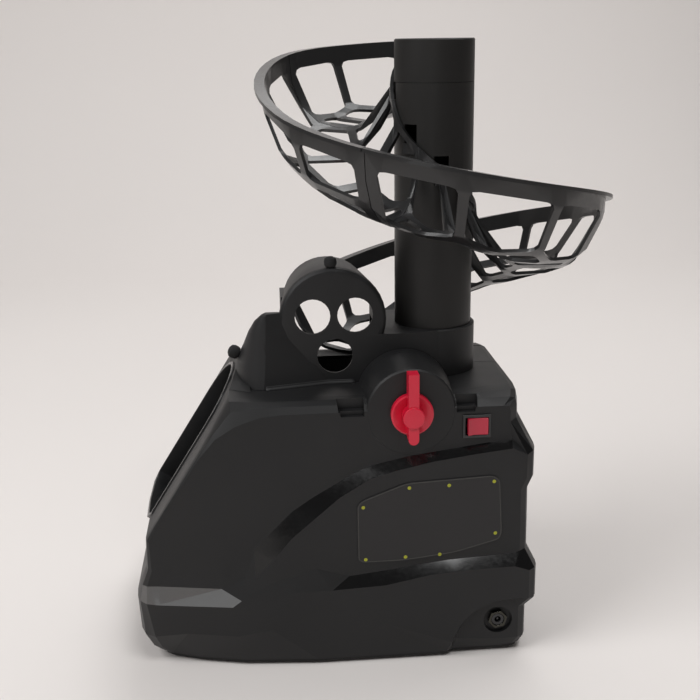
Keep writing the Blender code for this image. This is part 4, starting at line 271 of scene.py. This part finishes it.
# Patches rubbed by hands: their width, and how they change roughness and colour at the least and the most
RUBBED_WIDTH = 60.0
RUBBED_ROUGHNESS = (-0.06, 0.05)
RUBBED_SHADE = (0.9, 1.12)
# Flecks of dust on a glossy surface: their width, and the most that they add to its roughness
DUST_WIDTH = 3.0
DUST_ROUGHNESS = 0.1
# Gloss of the thin clear skin of a polished plastic
SKIN_ROUGHNESS = 0.05
# Tool marks of a metal: the share of its roughness at the least and the most, and their depth
MARK_ROUGHNESS = (0.7, 1.3)
MARK_DEPTH = 0.01
# Circuit board: spacing of its tracks, their width as a share of that, their rise and their paler shade
TRACK_SPACING = 5.0
TRACK_SHARE = 0.06
TRACK_RISE = 0.05
TRACK_SHADE = 1.9
# Battery sleeve: the y at which its second colour starts, and the width and depth of its scuffs
SLEEVE_BAND_Y = 52.0
SCUFF_WIDTH = 2.0
SCUFF_DEPTH = 0.01
# Uneven paint of the backdrop: the width of its clouds, and how they change its colour
PAINT_WIDTH = 900.0
PAINT_SHADE = (0.97, 1.02)


def grained_plastic(name, base, roughness, grain, depth):
    """Moulded plastic with a fine grain that scatters its highlights, rubbed a little in wide patches."""
    made, looks, place = new_material(name, base, roughness, IOR=1.42)
    fine = add_node(made, "ShaderNodeTexNoise", {"Vector": place}, Scale=per_metre(grain), Detail=3.0,
                    Roughness=0.6)
    rubbed = add_node(made, "ShaderNodeTexNoise", {"Vector": place}, Scale=per_metre(RUBBED_WIDTH),
                      Detail=3.0)
    least, most = RUBBED_ROUGHNESS
    add_node(made, "ShaderNodeMapRange", {"Value": rubbed.outputs["Fac"]}, {"Result": looks["Roughness"]},
             To_Min=roughness + least, To_Max=roughness + most, **NOISE_RANGE)
    dark, light = RUBBED_SHADE
    add_node(made, "ShaderNodeMix", {"Factor": rubbed.outputs["Fac"]}, {"Result": looks["Base Color"]},
             data_type="RGBA", A=scaled(base, dark), B=scaled(base, light))
    add_node(made, "ShaderNodeBump", {"Height": fine.outputs["Fac"]}, {"Normal": looks["Normal"]},
             Distance=depth * MM)
    return made


def polished_plastic(name, base, roughness, wave, depth, ior=1.5, coat=0.3):
    """Plastic from a polished mould face, with a slow ripple in its reflections and a little dust."""
    made, looks, place = new_material(name, base, roughness, IOR=ior, Coat_Weight=coat,
                                      Coat_Roughness=SKIN_ROUGHNESS)
    ripple = add_node(made, "ShaderNodeTexNoise", {"Vector": place}, Scale=per_metre(wave), Detail=1.0)
    dust = add_node(made, "ShaderNodeTexNoise", {"Vector": place}, Scale=per_metre(DUST_WIDTH), Detail=4.0,
                    Roughness=0.7)
    add_node(made, "ShaderNodeMapRange", {"Value": dust.outputs["Fac"]}, {"Result": looks["Roughness"]},
             To_Min=roughness, To_Max=roughness + DUST_ROUGHNESS, **NOISE_RANGE)
    add_node(made, "ShaderNodeBump", {"Height": ripple.outputs["Fac"]}, {"Normal": looks["Normal"]},
             Distance=depth * MM)
    return made


def metal(name, base, roughness, grain, stretch=(1, 1, 1)):
    """Metal with fine tool marks that smear its highlights."""
    made, looks, place = new_material(name, base, roughness, Metallic=1.0)
    along = add_node(made, "ShaderNodeMapping", {"Vector": place}, Scale=stretch)
    marks = add_node(made, "ShaderNodeTexNoise", {"Vector": along.outputs["Vector"]}, Scale=per_metre(grain),
                     Detail=4.0, Roughness=0.6)
    least, most = MARK_ROUGHNESS
    add_node(made, "ShaderNodeMapRange", {"Value": marks.outputs["Fac"]}, {"Result": looks["Roughness"]},
             To_Min=roughness * least, To_Max=roughness * most, **NOISE_RANGE)
    add_node(made, "ShaderNodeBump", {"Height": marks.outputs["Fac"]}, {"Normal": looks["Normal"]},
             Distance=MARK_DEPTH * MM)
    return made


def circuit_laminate(base):
    """Green solder mask over copper tracks, which show as slightly raised lighter lines."""
    made, looks, place = new_material("Glass laminate, solder masked", base, 0.35)
    black = (0, 0, 0, 1)
    white = (1, 1, 1, 1)
    tracks = add_node(made, "ShaderNodeTexBrick", {"Vector": place}, Scale=per_metre(TRACK_SPACING),
                      Color1=black, Color2=black, Mortar=white, Mortar_Size=TRACK_SHARE)
    add_node(made, "ShaderNodeMix", {"Factor": tracks.outputs["Color"]}, {"Result": looks["Base Color"]},
             data_type="RGBA", A=base, B=scaled(base, TRACK_SHADE))
    add_node(made, "ShaderNodeBump", {"Height": tracks.outputs["Color"]}, {"Normal": looks["Normal"]},
             Distance=TRACK_RISE * MM)
    return made


def printed_sleeve(base, accent):
    """Printed battery sleeve: one dark field and a band of a second colour along the cell."""
    made, looks, place = new_material("PET sleeve, printed", base, 0.3, Coat_Weight=0.4)
    split = add_node(made, "ShaderNodeSeparateXYZ", {"Vector": place})
    band = add_node(made, "ShaderNodeMath", {0: split.outputs["Y"]}, operation="GREATER_THAN")
    band.inputs[1].default_value = SLEEVE_BAND_Y * MM
    add_node(made, "ShaderNodeMix", {"Factor": band.outputs["Value"]}, {"Result": looks["Base Color"]},
             data_type="RGBA", A=base, B=accent)
    scuffs = add_node(made, "ShaderNodeTexNoise", {"Vector": place}, Scale=per_metre(SCUFF_WIDTH),
                      Detail=3.0)
    add_node(made, "ShaderNodeBump", {"Height": scuffs.outputs["Fac"]}, {"Normal": looks["Normal"]},
             Distance=SCUFF_DEPTH * MM)
    return made


def painted_board(base):
    """Rolled matt paint of the floor and backdrop: no reflection, and a tone that is just uneven."""
    made, looks, place = new_material("Painted board, matte", base, 0.85)
    clouds = add_node(made, "ShaderNodeTexNoise", {"Vector": place}, Scale=per_metre(PAINT_WIDTH))
    dark, light = PAINT_SHADE
    add_node(made, "ShaderNodeMix", {"Factor": clouds.outputs["Fac"]}, {"Result": looks["Base Color"]},
             data_type="RGBA", A=scaled(base, dark), B=scaled(base, light))
    return made


def make_finishes(c, grain):
    """Every finish of the object, by a short key.

    The numbers are roughness, grain width and grain depth for a grained plastic, roughness, ripple width and
    ripple depth for a polished one, and roughness and mark width for a metal. Real grain and tool marks are
    0.05 to 0.3 mm wide, too fine to show in the render, so they are drawn 0.2 to 1.2 mm wide.
    """
    shell = linear(c.shell)
    polished = linear(c.polished)
    rail = linear(c.rail)
    return {
        # Even, soft black: the eroded grain spreads the light, so no edge of a reflection shows.
        "shell": grained_plastic("ABS, spark-eroded grain", shell, 0.5, grain, 0.05),
        # A lighter facet: the mirror-smooth face throws back the pale surroundings.
        "polished": polished_plastic("ABS, polished mould face", polished, 0.08, 26.0, 0.35, ior=1.8,
                                     coat=1.0),
        # Deep, glossy black: darker than the grained wall wherever nothing bright is reflected.
        "band": polished_plastic("ABS, gloss mould face", polished, 0.12, 26.0, 0.3, ior=1.45, coat=0.0),
        # A shade greyer and flatter than the shell, with a tighter grain.
        "tower": grained_plastic("ABS, fine grain", linear(c.tower), 0.52, 0.4, 0.035),
        # One soft highlight down the tube, from the satin skin that extruding leaves.
        "column": grained_plastic("ABS tube, matte", linear(c.column), 0.48, 0.35, 0.025),
        # Waxy sheen with bright, soft-edged lines along the ribs.
        "rail": polished_plastic("Polypropylene, satin", rail, 0.3, 14.0, 0.12),
        # A smooth rim that is a touch shinier than the rail.
        "bezel": polished_plastic("ABS, satin mould face", rail, 0.28, 18.0, 0.15),
        # Plain, dull underside with a broad, shallow texture.
        "base": grained_plastic("ABS, plain mould face", shell, 0.6, 0.8, 0.03),
        # Dusty, almost reflection-free black.
        "rubber": grained_plastic("Nitrile rubber, moulded", linear("#1B1B1C"), 0.75, 0.7, 0.04),
        # Saturated red with a soft gloss on its rounded edges.
        "dial": polished_plastic("ABS, red, satin", linear(c.dial), 0.34, 9.0, 0.05),
        # Deeper red than the dial, smooth enough for one clear highlight.
        "rocker": polished_plastic("Polycarbonate, red, satin", linear(c.rocker), 0.3, 6.0, 0.04),
        # Small dark frames that catch a thin light line on their rims.
        "switch": polished_plastic("Nylon, semi gloss", linear("#1B1B1D"), 0.35, 5.0, 0.03),
        # Flat grey-black film, a little lighter and more even than the wall round it.
        "label": grained_plastic("Vinyl film, matte laminate", linear(c.label), 0.42, 0.25, 0.012),
        # Opaque yellow-green spots without any shine of their own.
        "ink": grained_plastic("Screen ink on vinyl", linear(c.ink), 0.5, 0.3, 0.01),
        # A hairline that is only just lighter than the film.
        "border": grained_plastic("Screen ink on vinyl, grey", linear(c.border), 0.45, 0.3, 0.01),
        # Dark metal with a warm glint at its edges.
        "nut": metal("Brass, black nickel plated", linear("#45443F"), 0.2, 0.5),
        # Dull black metal that shows only as a faint glint in its ring.
        "screw": metal("Steel, black oxide", linear("#3A3B3D"), 0.35, 0.6),
        # Bright, warm and smooth plate of the battery contacts.
        "nickel": metal("Nickel plate on brass", linear("#B9B6AE"), 0.22, 0.5),
        # Long, fine marks along the shafts break up their bright line.
        "steel": metal("Steel, ground", linear("#A9ABAD"), 0.3, 0.4, stretch=(1, 0.1, 1)),
        # Dark, clean wire with a thin bright line on each turn.
        "spring": metal("Spring steel, drawn", linear("#7F8286"), 0.3, 0.3),
        # Pale blue-grey plate with a coarse, cloudy spangle.
        "zinc": metal("Steel, zinc plated", linear("#B4B8BB"), 0.38, 1.2),
        # Brown, porous metal with a dull, broad highlight.
        "bronze": metal("Bronze, sintered", linear("#A9743A"), 0.45, 0.2),
        # Milky white, slightly waxy gears and arm.
        "acetal": grained_plastic("Acetal, moulded", linear("#DDDBD2"), 0.4, 0.6, 0.01),
        # Dark grey, dry surface with a visible tooth from the fibres.
        "grey": grained_plastic("Glass-filled nylon, moulded", linear("#2E3033"), 0.55, 0.5, 0.04),
        # Blue and silver cells with a clear film gloss.
        "sleeve": printed_sleeve(linear("#24406B"), linear("#B9BCC0")),
        # Glossy green with faint raised lines.
        "board": circuit_laminate(linear("#1F5A3C")),
    }


FINISHES = {}


def finish_of(key):
    """A finish made by the materials operator."""
    if key not in FINISHES:
        raise RuntimeError(f"no finish named {key}: run the materials operator first")
    return FINISHES[key]


def inside(x, z, outline):
    """Whether a point lies in a polygon."""
    odd = False
    for (x0, z0), (x1, z1) in zip(outline, outline[1:] + outline[:1]):
        if (z0 > z) != (z1 > z) and x < (x1 - x0) * (z - z0) / (z1 - z0) + x0:
            odd = not odd
    return odd


def polish_areas(node):
    """Give the polished finishes to the faces of a shell that lie in its polished areas."""
    for index, (key, areas) in enumerate(POLISHED_AREAS.items(), 1):
        node.data.materials.append(finish_of(key))
        for face in node.data.polygons:
            x, y, z = face.center / MM
            sideways = abs(y) > WALL_FROM_Y and abs(face.normal.y) > WALL_SIDEWAYS
            if sideways and any(inside(x, z, area) for area in areas):
                face.material_index = index


# Helpers for the CAD nodes

def dress(name, key):
    """Give a CAD node its finish and return it."""
    node = NODES[name]
    node.data.materials.clear()
    node.data.materials.append(finish_of(key))
    return node


def smooth(node):
    """Shade a piece's faces smooth."""
    node.data.polygons.foreach_set("use_smooth", [True] * len(node.data.polygons))


def bevel(node, width, segments):
    """Round a piece's sharp edges by a width in metres."""
    edge = node.modifiers.new("Edges", "BEVEL")
    edge.width = width
    edge.segments = segments
    edge.limit_method = "ANGLE"
    return edge


def round_edges(node, width, segments=2, angle=32.0):
    """Round a CAD node's edges that are sharper than an angle in degrees, and keep its flat faces flat."""
    smooth(node)
    weld = node.modifiers.new("Weld", "WELD")
    weld.merge_threshold = MERGE * MM
    edge = bevel(node, width, segments)
    edge.angle_limit = math.radians(angle)
    normals = node.modifiers.new("Normals", "WEIGHTED_NORMAL")
    normals.keep_sharp = True


def surface_tree(name):
    """Search tree of a CAD node, in metres."""
    mesh = NODES[name].data
    return BVHTree.FromPolygons([v.co for v in mesh.vertices], [tuple(p.vertices) for p in mesh.polygons])


def drop_on(tree, origin, direction):
    """Point in millimetres where a ray first meets a surface, and its normal against the ray."""
    spot, normal, _, _ = tree.ray_cast(Vector(origin) * MM, Vector(direction))
    if spot is None:
        raise RuntimeError(f"no surface under {tuple(origin)}")
    if normal.dot(Vector(direction)) > 0:
        normal = -normal
    return spot / MM, normal


# Helpers for the added pieces, whose meshes are built in millimetres

def mesh_object(name, bm):
    """Object made from a mesh in millimetres, linked to the scene."""
    bm.transform(Matrix.Scale(MM, 4))
    mesh = bpy.data.meshes.new(name)
    bm.to_mesh(mesh)
    bm.free()
    made = bpy.data.objects.new(name, mesh)
    bpy.context.scene.collection.objects.link(made)
    return made


def piece(name, bm, key, body):
    """Make a piece of the object that rides on a body."""
    bmesh.ops.recalc_face_normals(bm, faces=bm.faces)
    made = mesh_object(name, bm)
    made.data.materials.append(finish_of(key))
    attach(made, body)
    return made


def facing(origin, direction):
    """Matrix with its Z axis along a direction."""
    turn = Vector(direction).normalized().to_track_quat("Z", "Y").to_matrix().to_4x4()
    return Matrix.Translation(Vector(origin)) @ turn


def add_turned(bm, profile, place, steps):
    """Turn a profile of (radius, height) about the local Z axis of a matrix."""
    rings = []
    for radius, height in profile:
        count = 1 if radius == 0 else steps
        rings.append([bm.verts.new(place @ Vector((radius * math.cos(math.tau * i / steps),
                                                   radius * math.sin(math.tau * i / steps), height)))
                      for i in range(count)])
    pairs = list(zip(rings, rings[1:]))
    if profile[0][0] > 0:
        pairs.append((rings[-1], rings[0]))
    for a, b in pairs:
        for i in range(steps):
            j = (i + 1) % steps
            corners = list(dict.fromkeys([a[i % len(a)], a[j % len(a)], b[j % len(b)], b[i % len(b)]]))
            if len(corners) > 2:
                bm.faces.new(corners)


def add_block(bm, low, high, place):
    """Box between two corners, in the frame of a matrix."""
    spots = [bm.verts.new(place @ Vector((x, y, z))) for x in (low[0], high[0]) for y in (low[1], high[1])
             for z in (low[2], high[2])]
    for loop in ((0, 1, 3, 2), (4, 6, 7, 5), (0, 4, 5, 1), (2, 3, 7, 6), (0, 2, 6, 4), (1, 5, 7, 3)):
        bm.faces.new([spots[i] for i in loop])


def add_strip(bm, path, profile):
    """Sweep a profile of (outward, up) along a path; outward is to the path's right."""
    rows = []
    for i, spot in enumerate(path):
        ahead = (path[min(i + 1, len(path) - 1)] - path[max(i - 1, 0)]).normalized()
        out = Vector((ahead.y, -ahead.x, 0)).normalized()
        rows.append([bm.verts.new(spot + out * o + Vector((0, 0, u))) for o, u in profile])
    count = len(profile)
    for a, b in zip(rows, rows[1:]):
        for i in range(count):
            j = (i + 1) % count
            bm.faces.new((a[i], a[j], b[j], b[i]))
    bm.faces.new(rows[0])
    bm.faces.new(rows[-1])


def carve(node, recess):
    """Cut a recess out of a piece for good, and remove the cutter."""
    cut = node.modifiers.new("Recess", "BOOLEAN")
    cut.object = recess
    cut.operation = "DIFFERENCE"
    cut.solver = "EXACT"
    cut.use_self = True
    depsgraph = bpy.context.evaluated_depsgraph_get()
    depsgraph.update()
    carved = bpy.data.meshes.new_from_object(node.evaluated_get(depsgraph))
    node.modifiers.clear()
    node.data = carved
    bpy.data.objects.remove(recess)


def add_screw(name, spot, normal, radius):
    """Pan head screw with a cross recess, in a shallow moulded ring."""
    place = facing(spot, normal)
    bm = bmesh.new()
    add_turned(bm, [(radius + gap, height) for gap, height in SCREW_RING], place, SCREW_STEPS)
    smooth(piece(f"{name}_ring", bm, "shell", "housing"))
    bm = bmesh.new()
    add_turned(bm, [(radius * share, height) for share, height in SCREW_HEAD], place, SCREW_STEPS)
    head = piece(name, bm, "screw", "housing")
    half = radius * RECESS_HALF
    reach = radius * RECESS_REACH
    bm = bmesh.new()
    add_block(bm, (-reach, -half, RECESS_FLOOR), (reach, half, RECESS_TOP), place)
    add_block(bm, (-half, -reach, RECESS_FLOOR + RECESS_STEP), (half, reach, RECESS_TOP - RECESS_STEP),
              place)
    carve(head, mesh_object(f"{name}_recess", bm))
    bevel(head, RECESS_EDGE * MM, 2)


# Operators

class TOSS_OT_materials(bpy.types.Operator):
    """Make every finish of the object"""

    bl_idname = "toss.materials"
    bl_label = "Materials"
    bl_options = {"REGISTER", "UNDO"}

    def execute(self, context):
        scene = context.scene
        FINISHES.update(make_finishes(scene.toss_colours, scene.toss_sizes.grain / MM))
        return {"FINISHED"}


class TOSS_OT_shell(bpy.types.Operator):
    """Dress the casing halves and the battery door"""

    bl_idname = "toss.shell"
    bl_label = "Shell"
    bl_options = {"REGISTER", "UNDO"}

    def execute(self, context):
        for name in ("casing_near", "casing_far", "battery_door"):
            node = dress(name, "shell")
            polish_areas(node)
            round_edges(node, context.scene.toss_sizes.shell_edge, segments=3, angle=14.0)
        return {"FINISHED"}


class TOSS_OT_screws(bpy.types.Operator):
    """Add the screws of the far shell half and of the base"""

    bl_idname = "toss.screws"
    bl_label = "Screws"
    bl_options = {"REGISTER", "UNDO"}

    def execute(self, context):
        radius = context.scene.toss_sizes.screw / MM / 2
        wall = surface_tree("casing_far")
        for number, (x, z) in enumerate(FAR_SCREWS, 1):
            add_screw(f"far_screw_{number}", *drop_on(wall, (x, OUTSIDE, z), (0, -1, 0)), radius)
        floor = surface_tree("base_plate")
        for number, (x, y) in enumerate(BASE_SCREWS, 1):
            add_screw(f"base_screw_{number}", *drop_on(floor, (x, y, -OUTSIDE), (0, 0, 1)), radius)
        return {"FINISHED"}


class TOSS_OT_base(bpy.types.Operator):
    """Dress the base plate and the feet"""

    bl_idname = "toss.base"
    bl_label = "Base"
    bl_options = {"REGISTER", "UNDO"}

    def execute(self, context):
        edge = context.scene.toss_sizes.small_edge
        round_edges(dress("base_plate", "base"), edge)
        for number in range(1, 5):
            round_edges(dress(f"foot_{number}", "rubber"), edge)
        return {"FINISHED"}


class TOSS_OT_column(bpy.types.Operator):
    """Dress the feed column and its cap"""

    bl_idname = "toss.column"
    bl_label = "Column"
    bl_options = {"REGISTER", "UNDO"}

    def execute(self, context):
        for name in ("column", "column_cap"):
            round_edges(dress(name, "column"), context.scene.toss_sizes.column_edge)
        return {"FINISHED"}


class TOSS_OT_rail(bpy.types.Operator):
    """Dress the five lengths of the feed rail"""

    bl_idname = "toss.rail"
    bl_label = "Rail"
    bl_options = {"REGISTER", "UNDO"}

    def execute(self, context):
        for number in range(1, 6):
            round_edges(dress(f"rail_{number}", "rail"), context.scene.toss_sizes.rail_edge, angle=40.0)
        return {"FINISHED"}


class TOSS_OT_tower(bpy.types.Operator):
    """Dress the tower, its hood and the rubber knobs"""

    bl_idname = "toss.tower"
    bl_label = "Tower"
    bl_options = {"REGISTER", "UNDO"}

    def execute(self, context):
        sizes = context.scene.toss_sizes
        round_edges(dress("tower_cover", "tower"), sizes.tower_edge, segments=3, angle=24.0)
        for name in ("bumper_top", "bumper_front"):
            round_edges(dress(name, "rubber"), sizes.small_edge)
        return {"FINISHED"}


class TOSS_OT_fillet(bpy.types.Operator):
    """Add the moulded fillet along the tower's near foot"""

    bl_idname = "toss.fillet"
    bl_label = "Tower fillet"
    bl_options = {"REGISTER", "UNDO"}

    def execute(self, context):
        wall = surface_tree("tower_cover")
        path = []
        for x in FILLET_XS:
            spot, _ = drop_on(wall, (x, -OUTSIDE, FILLET_WALL_Z), (0, 1, 0))
            path.append(Vector((spot.x, spot.y, FILLET_Z)))
        profile = [(-FILLET_SUNK, FILLET_LIFT), (FILLET_RADIUS, FILLET_LIFT)]
        profile += [(FILLET_RADIUS * (1 - math.sin(math.radians(a))),
                     FILLET_LIFT + FILLET_RADIUS * (1 - math.cos(math.radians(a)))) for a in FILLET_ANGLES]
        profile.append((-FILLET_SUNK, FILLET_LIFT + FILLET_RADIUS))
        bm = bmesh.new()
        add_strip(bm, path, profile)
        made = piece("tower_fillet", bm, "tower", "housing")
        smooth(made)
        made.modifiers.new("Normals", "WEIGHTED_NORMAL")
        return {"FINISHED"}


class TOSS_OT_door(bpy.types.Operator):
    """Add the grip ribs of the battery door"""

    bl_idname = "toss.door"
    bl_label = "Door ribs"
    bl_options = {"REGISTER", "UNDO"}

    def execute(self, context):
        door = surface_tree("battery_door")
        for number in range(DOOR_RIBS):
            height = DOOR_RIB_Z + DOOR_RIB_SPACING * number
            spot, _ = drop_on(door, (OUTSIDE, DOOR_RIB_Y, height), (-1, 0, 0))
            bm = bmesh.new()
            add_block(bm, DOOR_RIB_LOW, DOOR_RIB_HIGH, Matrix.Translation(spot) @ DOOR_TURN)
            rib = piece(f"door_rib_{number + 1}", bm, "shell", "battery_lid")
            bevel(rib, DOOR_RIB_EDGE * MM, 3)
        return {"FINISHED"}


class TOSS_OT_mouth(bpy.types.Operator):
    """Dress the rim of the exit mouth"""

    bl_idname = "toss.mouth"
    bl_label = "Mouth"
    bl_options = {"REGISTER", "UNDO"}

    def execute(self, context):
        round_edges(dress("mouth_bezel", "bezel"), context.scene.toss_sizes.mouth_edge)
        return {"FINISHED"}


class TOSS_OT_controls(bpy.types.Operator):
    """Dress the dial, the rocker switch, the inlet and the label"""

    bl_idname = "toss.controls"
    bl_label = "Controls"
    bl_options = {"REGISTER", "UNDO"}

    def execute(self, context):
        sizes = context.scene.toss_sizes
        round_edges(dress("dial_knob", "dial"), sizes.dial_edge, segments=3)
        round_edges(dress("rocker", "rocker"), sizes.rocker_edge, segments=3)
        round_edges(dress("switch_bezel", "switch"), sizes.small_edge)
        round_edges(dress("label_plate", "label"), sizes.label_edge)
        round_edges(dress("power_inlet", "switch"), sizes.small_edge)
        round_edges(dress("inlet_nut", "nut"), sizes.nut_edge)
        return {"FINISHED"}


class TOSS_OT_label(bpy.types.Operator):
    """Print the dots and the edge line on the label"""

    bl_idname = "toss.label"
    bl_label = "Label print"
    bl_options = {"REGISTER", "UNDO"}

    def execute(self, context):
        film = surface_tree("label_plate")
        radius = context.scene.toss_sizes.dot / MM / 2
        dot = [(0, -PRINT_SUNK), (radius, -PRINT_SUNK), (radius, PRINT_RISE), (0, PRINT_RISE)]
        for number, (x, z) in enumerate(LABEL_DOTS, 1):
            bm = bmesh.new()
            add_turned(bm, dot, facing(*drop_on(film, (x, -OUTSIDE, z), (0, 1, 0))), DOT_STEPS)
            piece(f"label_dot_{number}", bm, "ink", "housing")
        bm = bmesh.new()
        bm.from_mesh(NODES["label_plate"].data)
        bmesh.ops.scale(bm, vec=(1 / MM,) * 3, verts=bm.verts)
        bmesh.ops.delete(bm, geom=[f for f in bm.faces if f.normal.y > FRONT_NORMAL], context="FACES")
        bmesh.ops.remove_doubles(bm, verts=bm.verts, dist=MERGE)
        front = list(bm.faces)
        bmesh.ops.inset_region(bm, faces=front, thickness=LINE_MARGIN, use_boundary=True)
        inset = bmesh.ops.inset_region(bm, faces=front, thickness=LINE_WIDTH, use_boundary=True)
        ring = set(inset["faces"])
        bmesh.ops.delete(bm, geom=[f for f in bm.faces if f not in ring], context="FACES")
        bmesh.ops.translate(bm, vec=(0, -PRINT_RISE, 0), verts=bm.verts)
        line = piece("label_line", bm, "border", "housing")
        thick = line.modifiers.new("Thickness", "SOLIDIFY")
        thick.thickness = PRINT_SUNK * MM
        return {"FINISHED"}


class TOSS_OT_dial(bpy.types.Operator):
    """Add the round cap of the dial"""

    bl_idname = "toss.dial"
    bl_label = "Dial cap"
    bl_options = {"REGISTER", "UNDO"}

    def execute(self, context):
        bm = bmesh.new()
        add_turned(bm, DIAL_CAP, facing(DIAL_CAP_SPOT, (0, -1, 0)), CAP_STEPS)
        cap = piece("dial_cap", bm, "dial", "dial")
        smooth(cap)
        cap.modifiers.new("Normals", "WEIGHTED_NORMAL")
        return {"FINISHED"}


class TOSS_OT_mechanism(bpy.types.Operator):
    """Dress the arm, the gears, the frames and the feed parts"""

    bl_idname = "toss.mechanism"
    bl_label = "Mechanism"
    bl_options = {"REGISTER", "UNDO"}

    def execute(self, context):
        for key, names in MECHANISM.items():
            for name in names:
                round_edges(dress(name, key), context.scene.toss_sizes.small_edge)
        return {"FINISHED"}


class TOSS_OT_stage(bpy.types.Operator):
    """Make the floor, the lights and the camera"""

    bl_idname = "toss.stage"
    bl_label = "Stage"
    bl_options = {"REGISTER", "UNDO"}

    def execute(self, context):
        make_backdrop(context.scene.toss_colours)
        for light in LIGHTS:
            add_light(*light)
        make_room()
        make_camera()
        return {"FINISHED"}


def make_backdrop(c):
    """Floor that curves up into a backdrop."""
    bend = [(BACKDROP_BACK + BACKDROP_RADIUS * math.sin(math.radians(a)),
             BACKDROP_RADIUS * (1 - math.cos(math.radians(a)))) for a in BACKDROP_ANGLES]
    profile = [(BACKDROP_FRONT, 0.0), (BACKDROP_BACK, 0.0)] + bend
    profile.append((BACKDROP_BACK + BACKDROP_RADIUS, BACKDROP_TOP))
    bm = bmesh.new()
    rows = [[bm.verts.new((x, y, z)) for x in (-BACKDROP_HALF, BACKDROP_HALF)] for y, z in profile]
    for a, b in zip(rows, rows[1:]):
        bm.faces.new((a[0], a[1], b[1], b[0]))
    backdrop = mesh_object("backdrop", bm)
    smooth(backdrop)
    backdrop.data.materials.append(painted_board(linear(c.floor)))


def add_light(name, spot, target, size, power):
    """Soft area light aimed at a point."""
    data = bpy.data.lights.new(name, "AREA")
    data.shape = "RECTANGLE"
    data.size, data.size_y = size
    data.energy = power
    lamp = bpy.data.objects.new(name, data)
    bpy.context.scene.collection.objects.link(lamp)
    lamp.location = spot
    lamp.rotation_euler = (Vector(target) - Vector(spot)).to_track_quat("-Z", "Y").to_euler()


def make_room():
    """Faint even light of the room, and the plain view transform."""
    world = bpy.data.worlds.new("studio")
    world.use_nodes = True
    set_sockets(world.node_tree.nodes["Background"], Color=linear(ROOM_COLOUR), Strength=ROOM_STRENGTH)
    bpy.context.scene.world = world
    bpy.context.scene.view_settings.view_transform = "Standard"


def make_camera():
    """Camera at the photograph's place, tilt and focal length."""
    look = Vector(CAMERA_LOOK).normalized()
    level = look.cross(Vector((0, 0, 1))).normalized()
    rise = level.cross(look)
    roll = math.radians(CAMERA_ROLL)
    right = level * math.cos(roll) + rise * math.sin(roll)
    turn = Matrix((right, right.cross(look), -look)).transposed().to_4x4()
    data = bpy.data.cameras.new("camera")
    data.lens = CAMERA_LENS
    data.sensor_width = CAMERA_SENSOR
    camera = bpy.data.objects.new("camera", data)
    bpy.context.scene.collection.objects.link(camera)
    camera.matrix_world = Matrix.Translation(Vector(CAMERA_SPOT)) @ turn
    bpy.context.scene.camera = camera


class TOSS_PT_panel(bpy.types.Panel):
    """Settings and steps of the toss machine's looks"""

    bl_idname = "TOSS_PT_panel"
    bl_label = "Toss machine"
    bl_space_type = "VIEW_3D"
    bl_region_type = "UI"
    bl_category = "Toss machine"

    def draw(self, context):
        """List the settings, then one button for each step."""
        for settings in (context.scene.toss_sizes, context.scene.toss_colours):
            column = self.layout.column()
            for key in settings.__annotations__:
                column.prop(settings, key)
        for step in STEPS:
            self.layout.operator(step.bl_idname)


STEPS = (TOSS_OT_materials, TOSS_OT_shell, TOSS_OT_screws, TOSS_OT_base, TOSS_OT_column, TOSS_OT_rail,
         TOSS_OT_tower, TOSS_OT_fillet, TOSS_OT_door, TOSS_OT_mouth, TOSS_OT_controls, TOSS_OT_label,
         TOSS_OT_dial, TOSS_OT_mechanism, TOSS_OT_stage)
CLASSES = (TossColours, TossSizes) + STEPS + (TOSS_PT_panel,)


def register():
    """Register the classes and attach the settings to the scene."""
    for cls in CLASSES:
        bpy.utils.register_class(cls)
    bpy.types.Scene.toss_colours = bpy.props.PointerProperty(type=TossColours)
    bpy.types.Scene.toss_sizes = bpy.props.PointerProperty(type=TossSizes)


def unregister():
    """Remove the settings and the classes."""
    del bpy.types.Scene.toss_sizes
    del bpy.types.Scene.toss_colours
    for cls in reversed(CLASSES):
        bpy.utils.unregister_class(cls)


def main():
    """Run every step in order."""
    register()
    for step in STEPS:
        group, name = step.bl_idname.split(".")
        getattr(getattr(bpy.ops, group), name)()


if __name__ == "__main__":
    main()
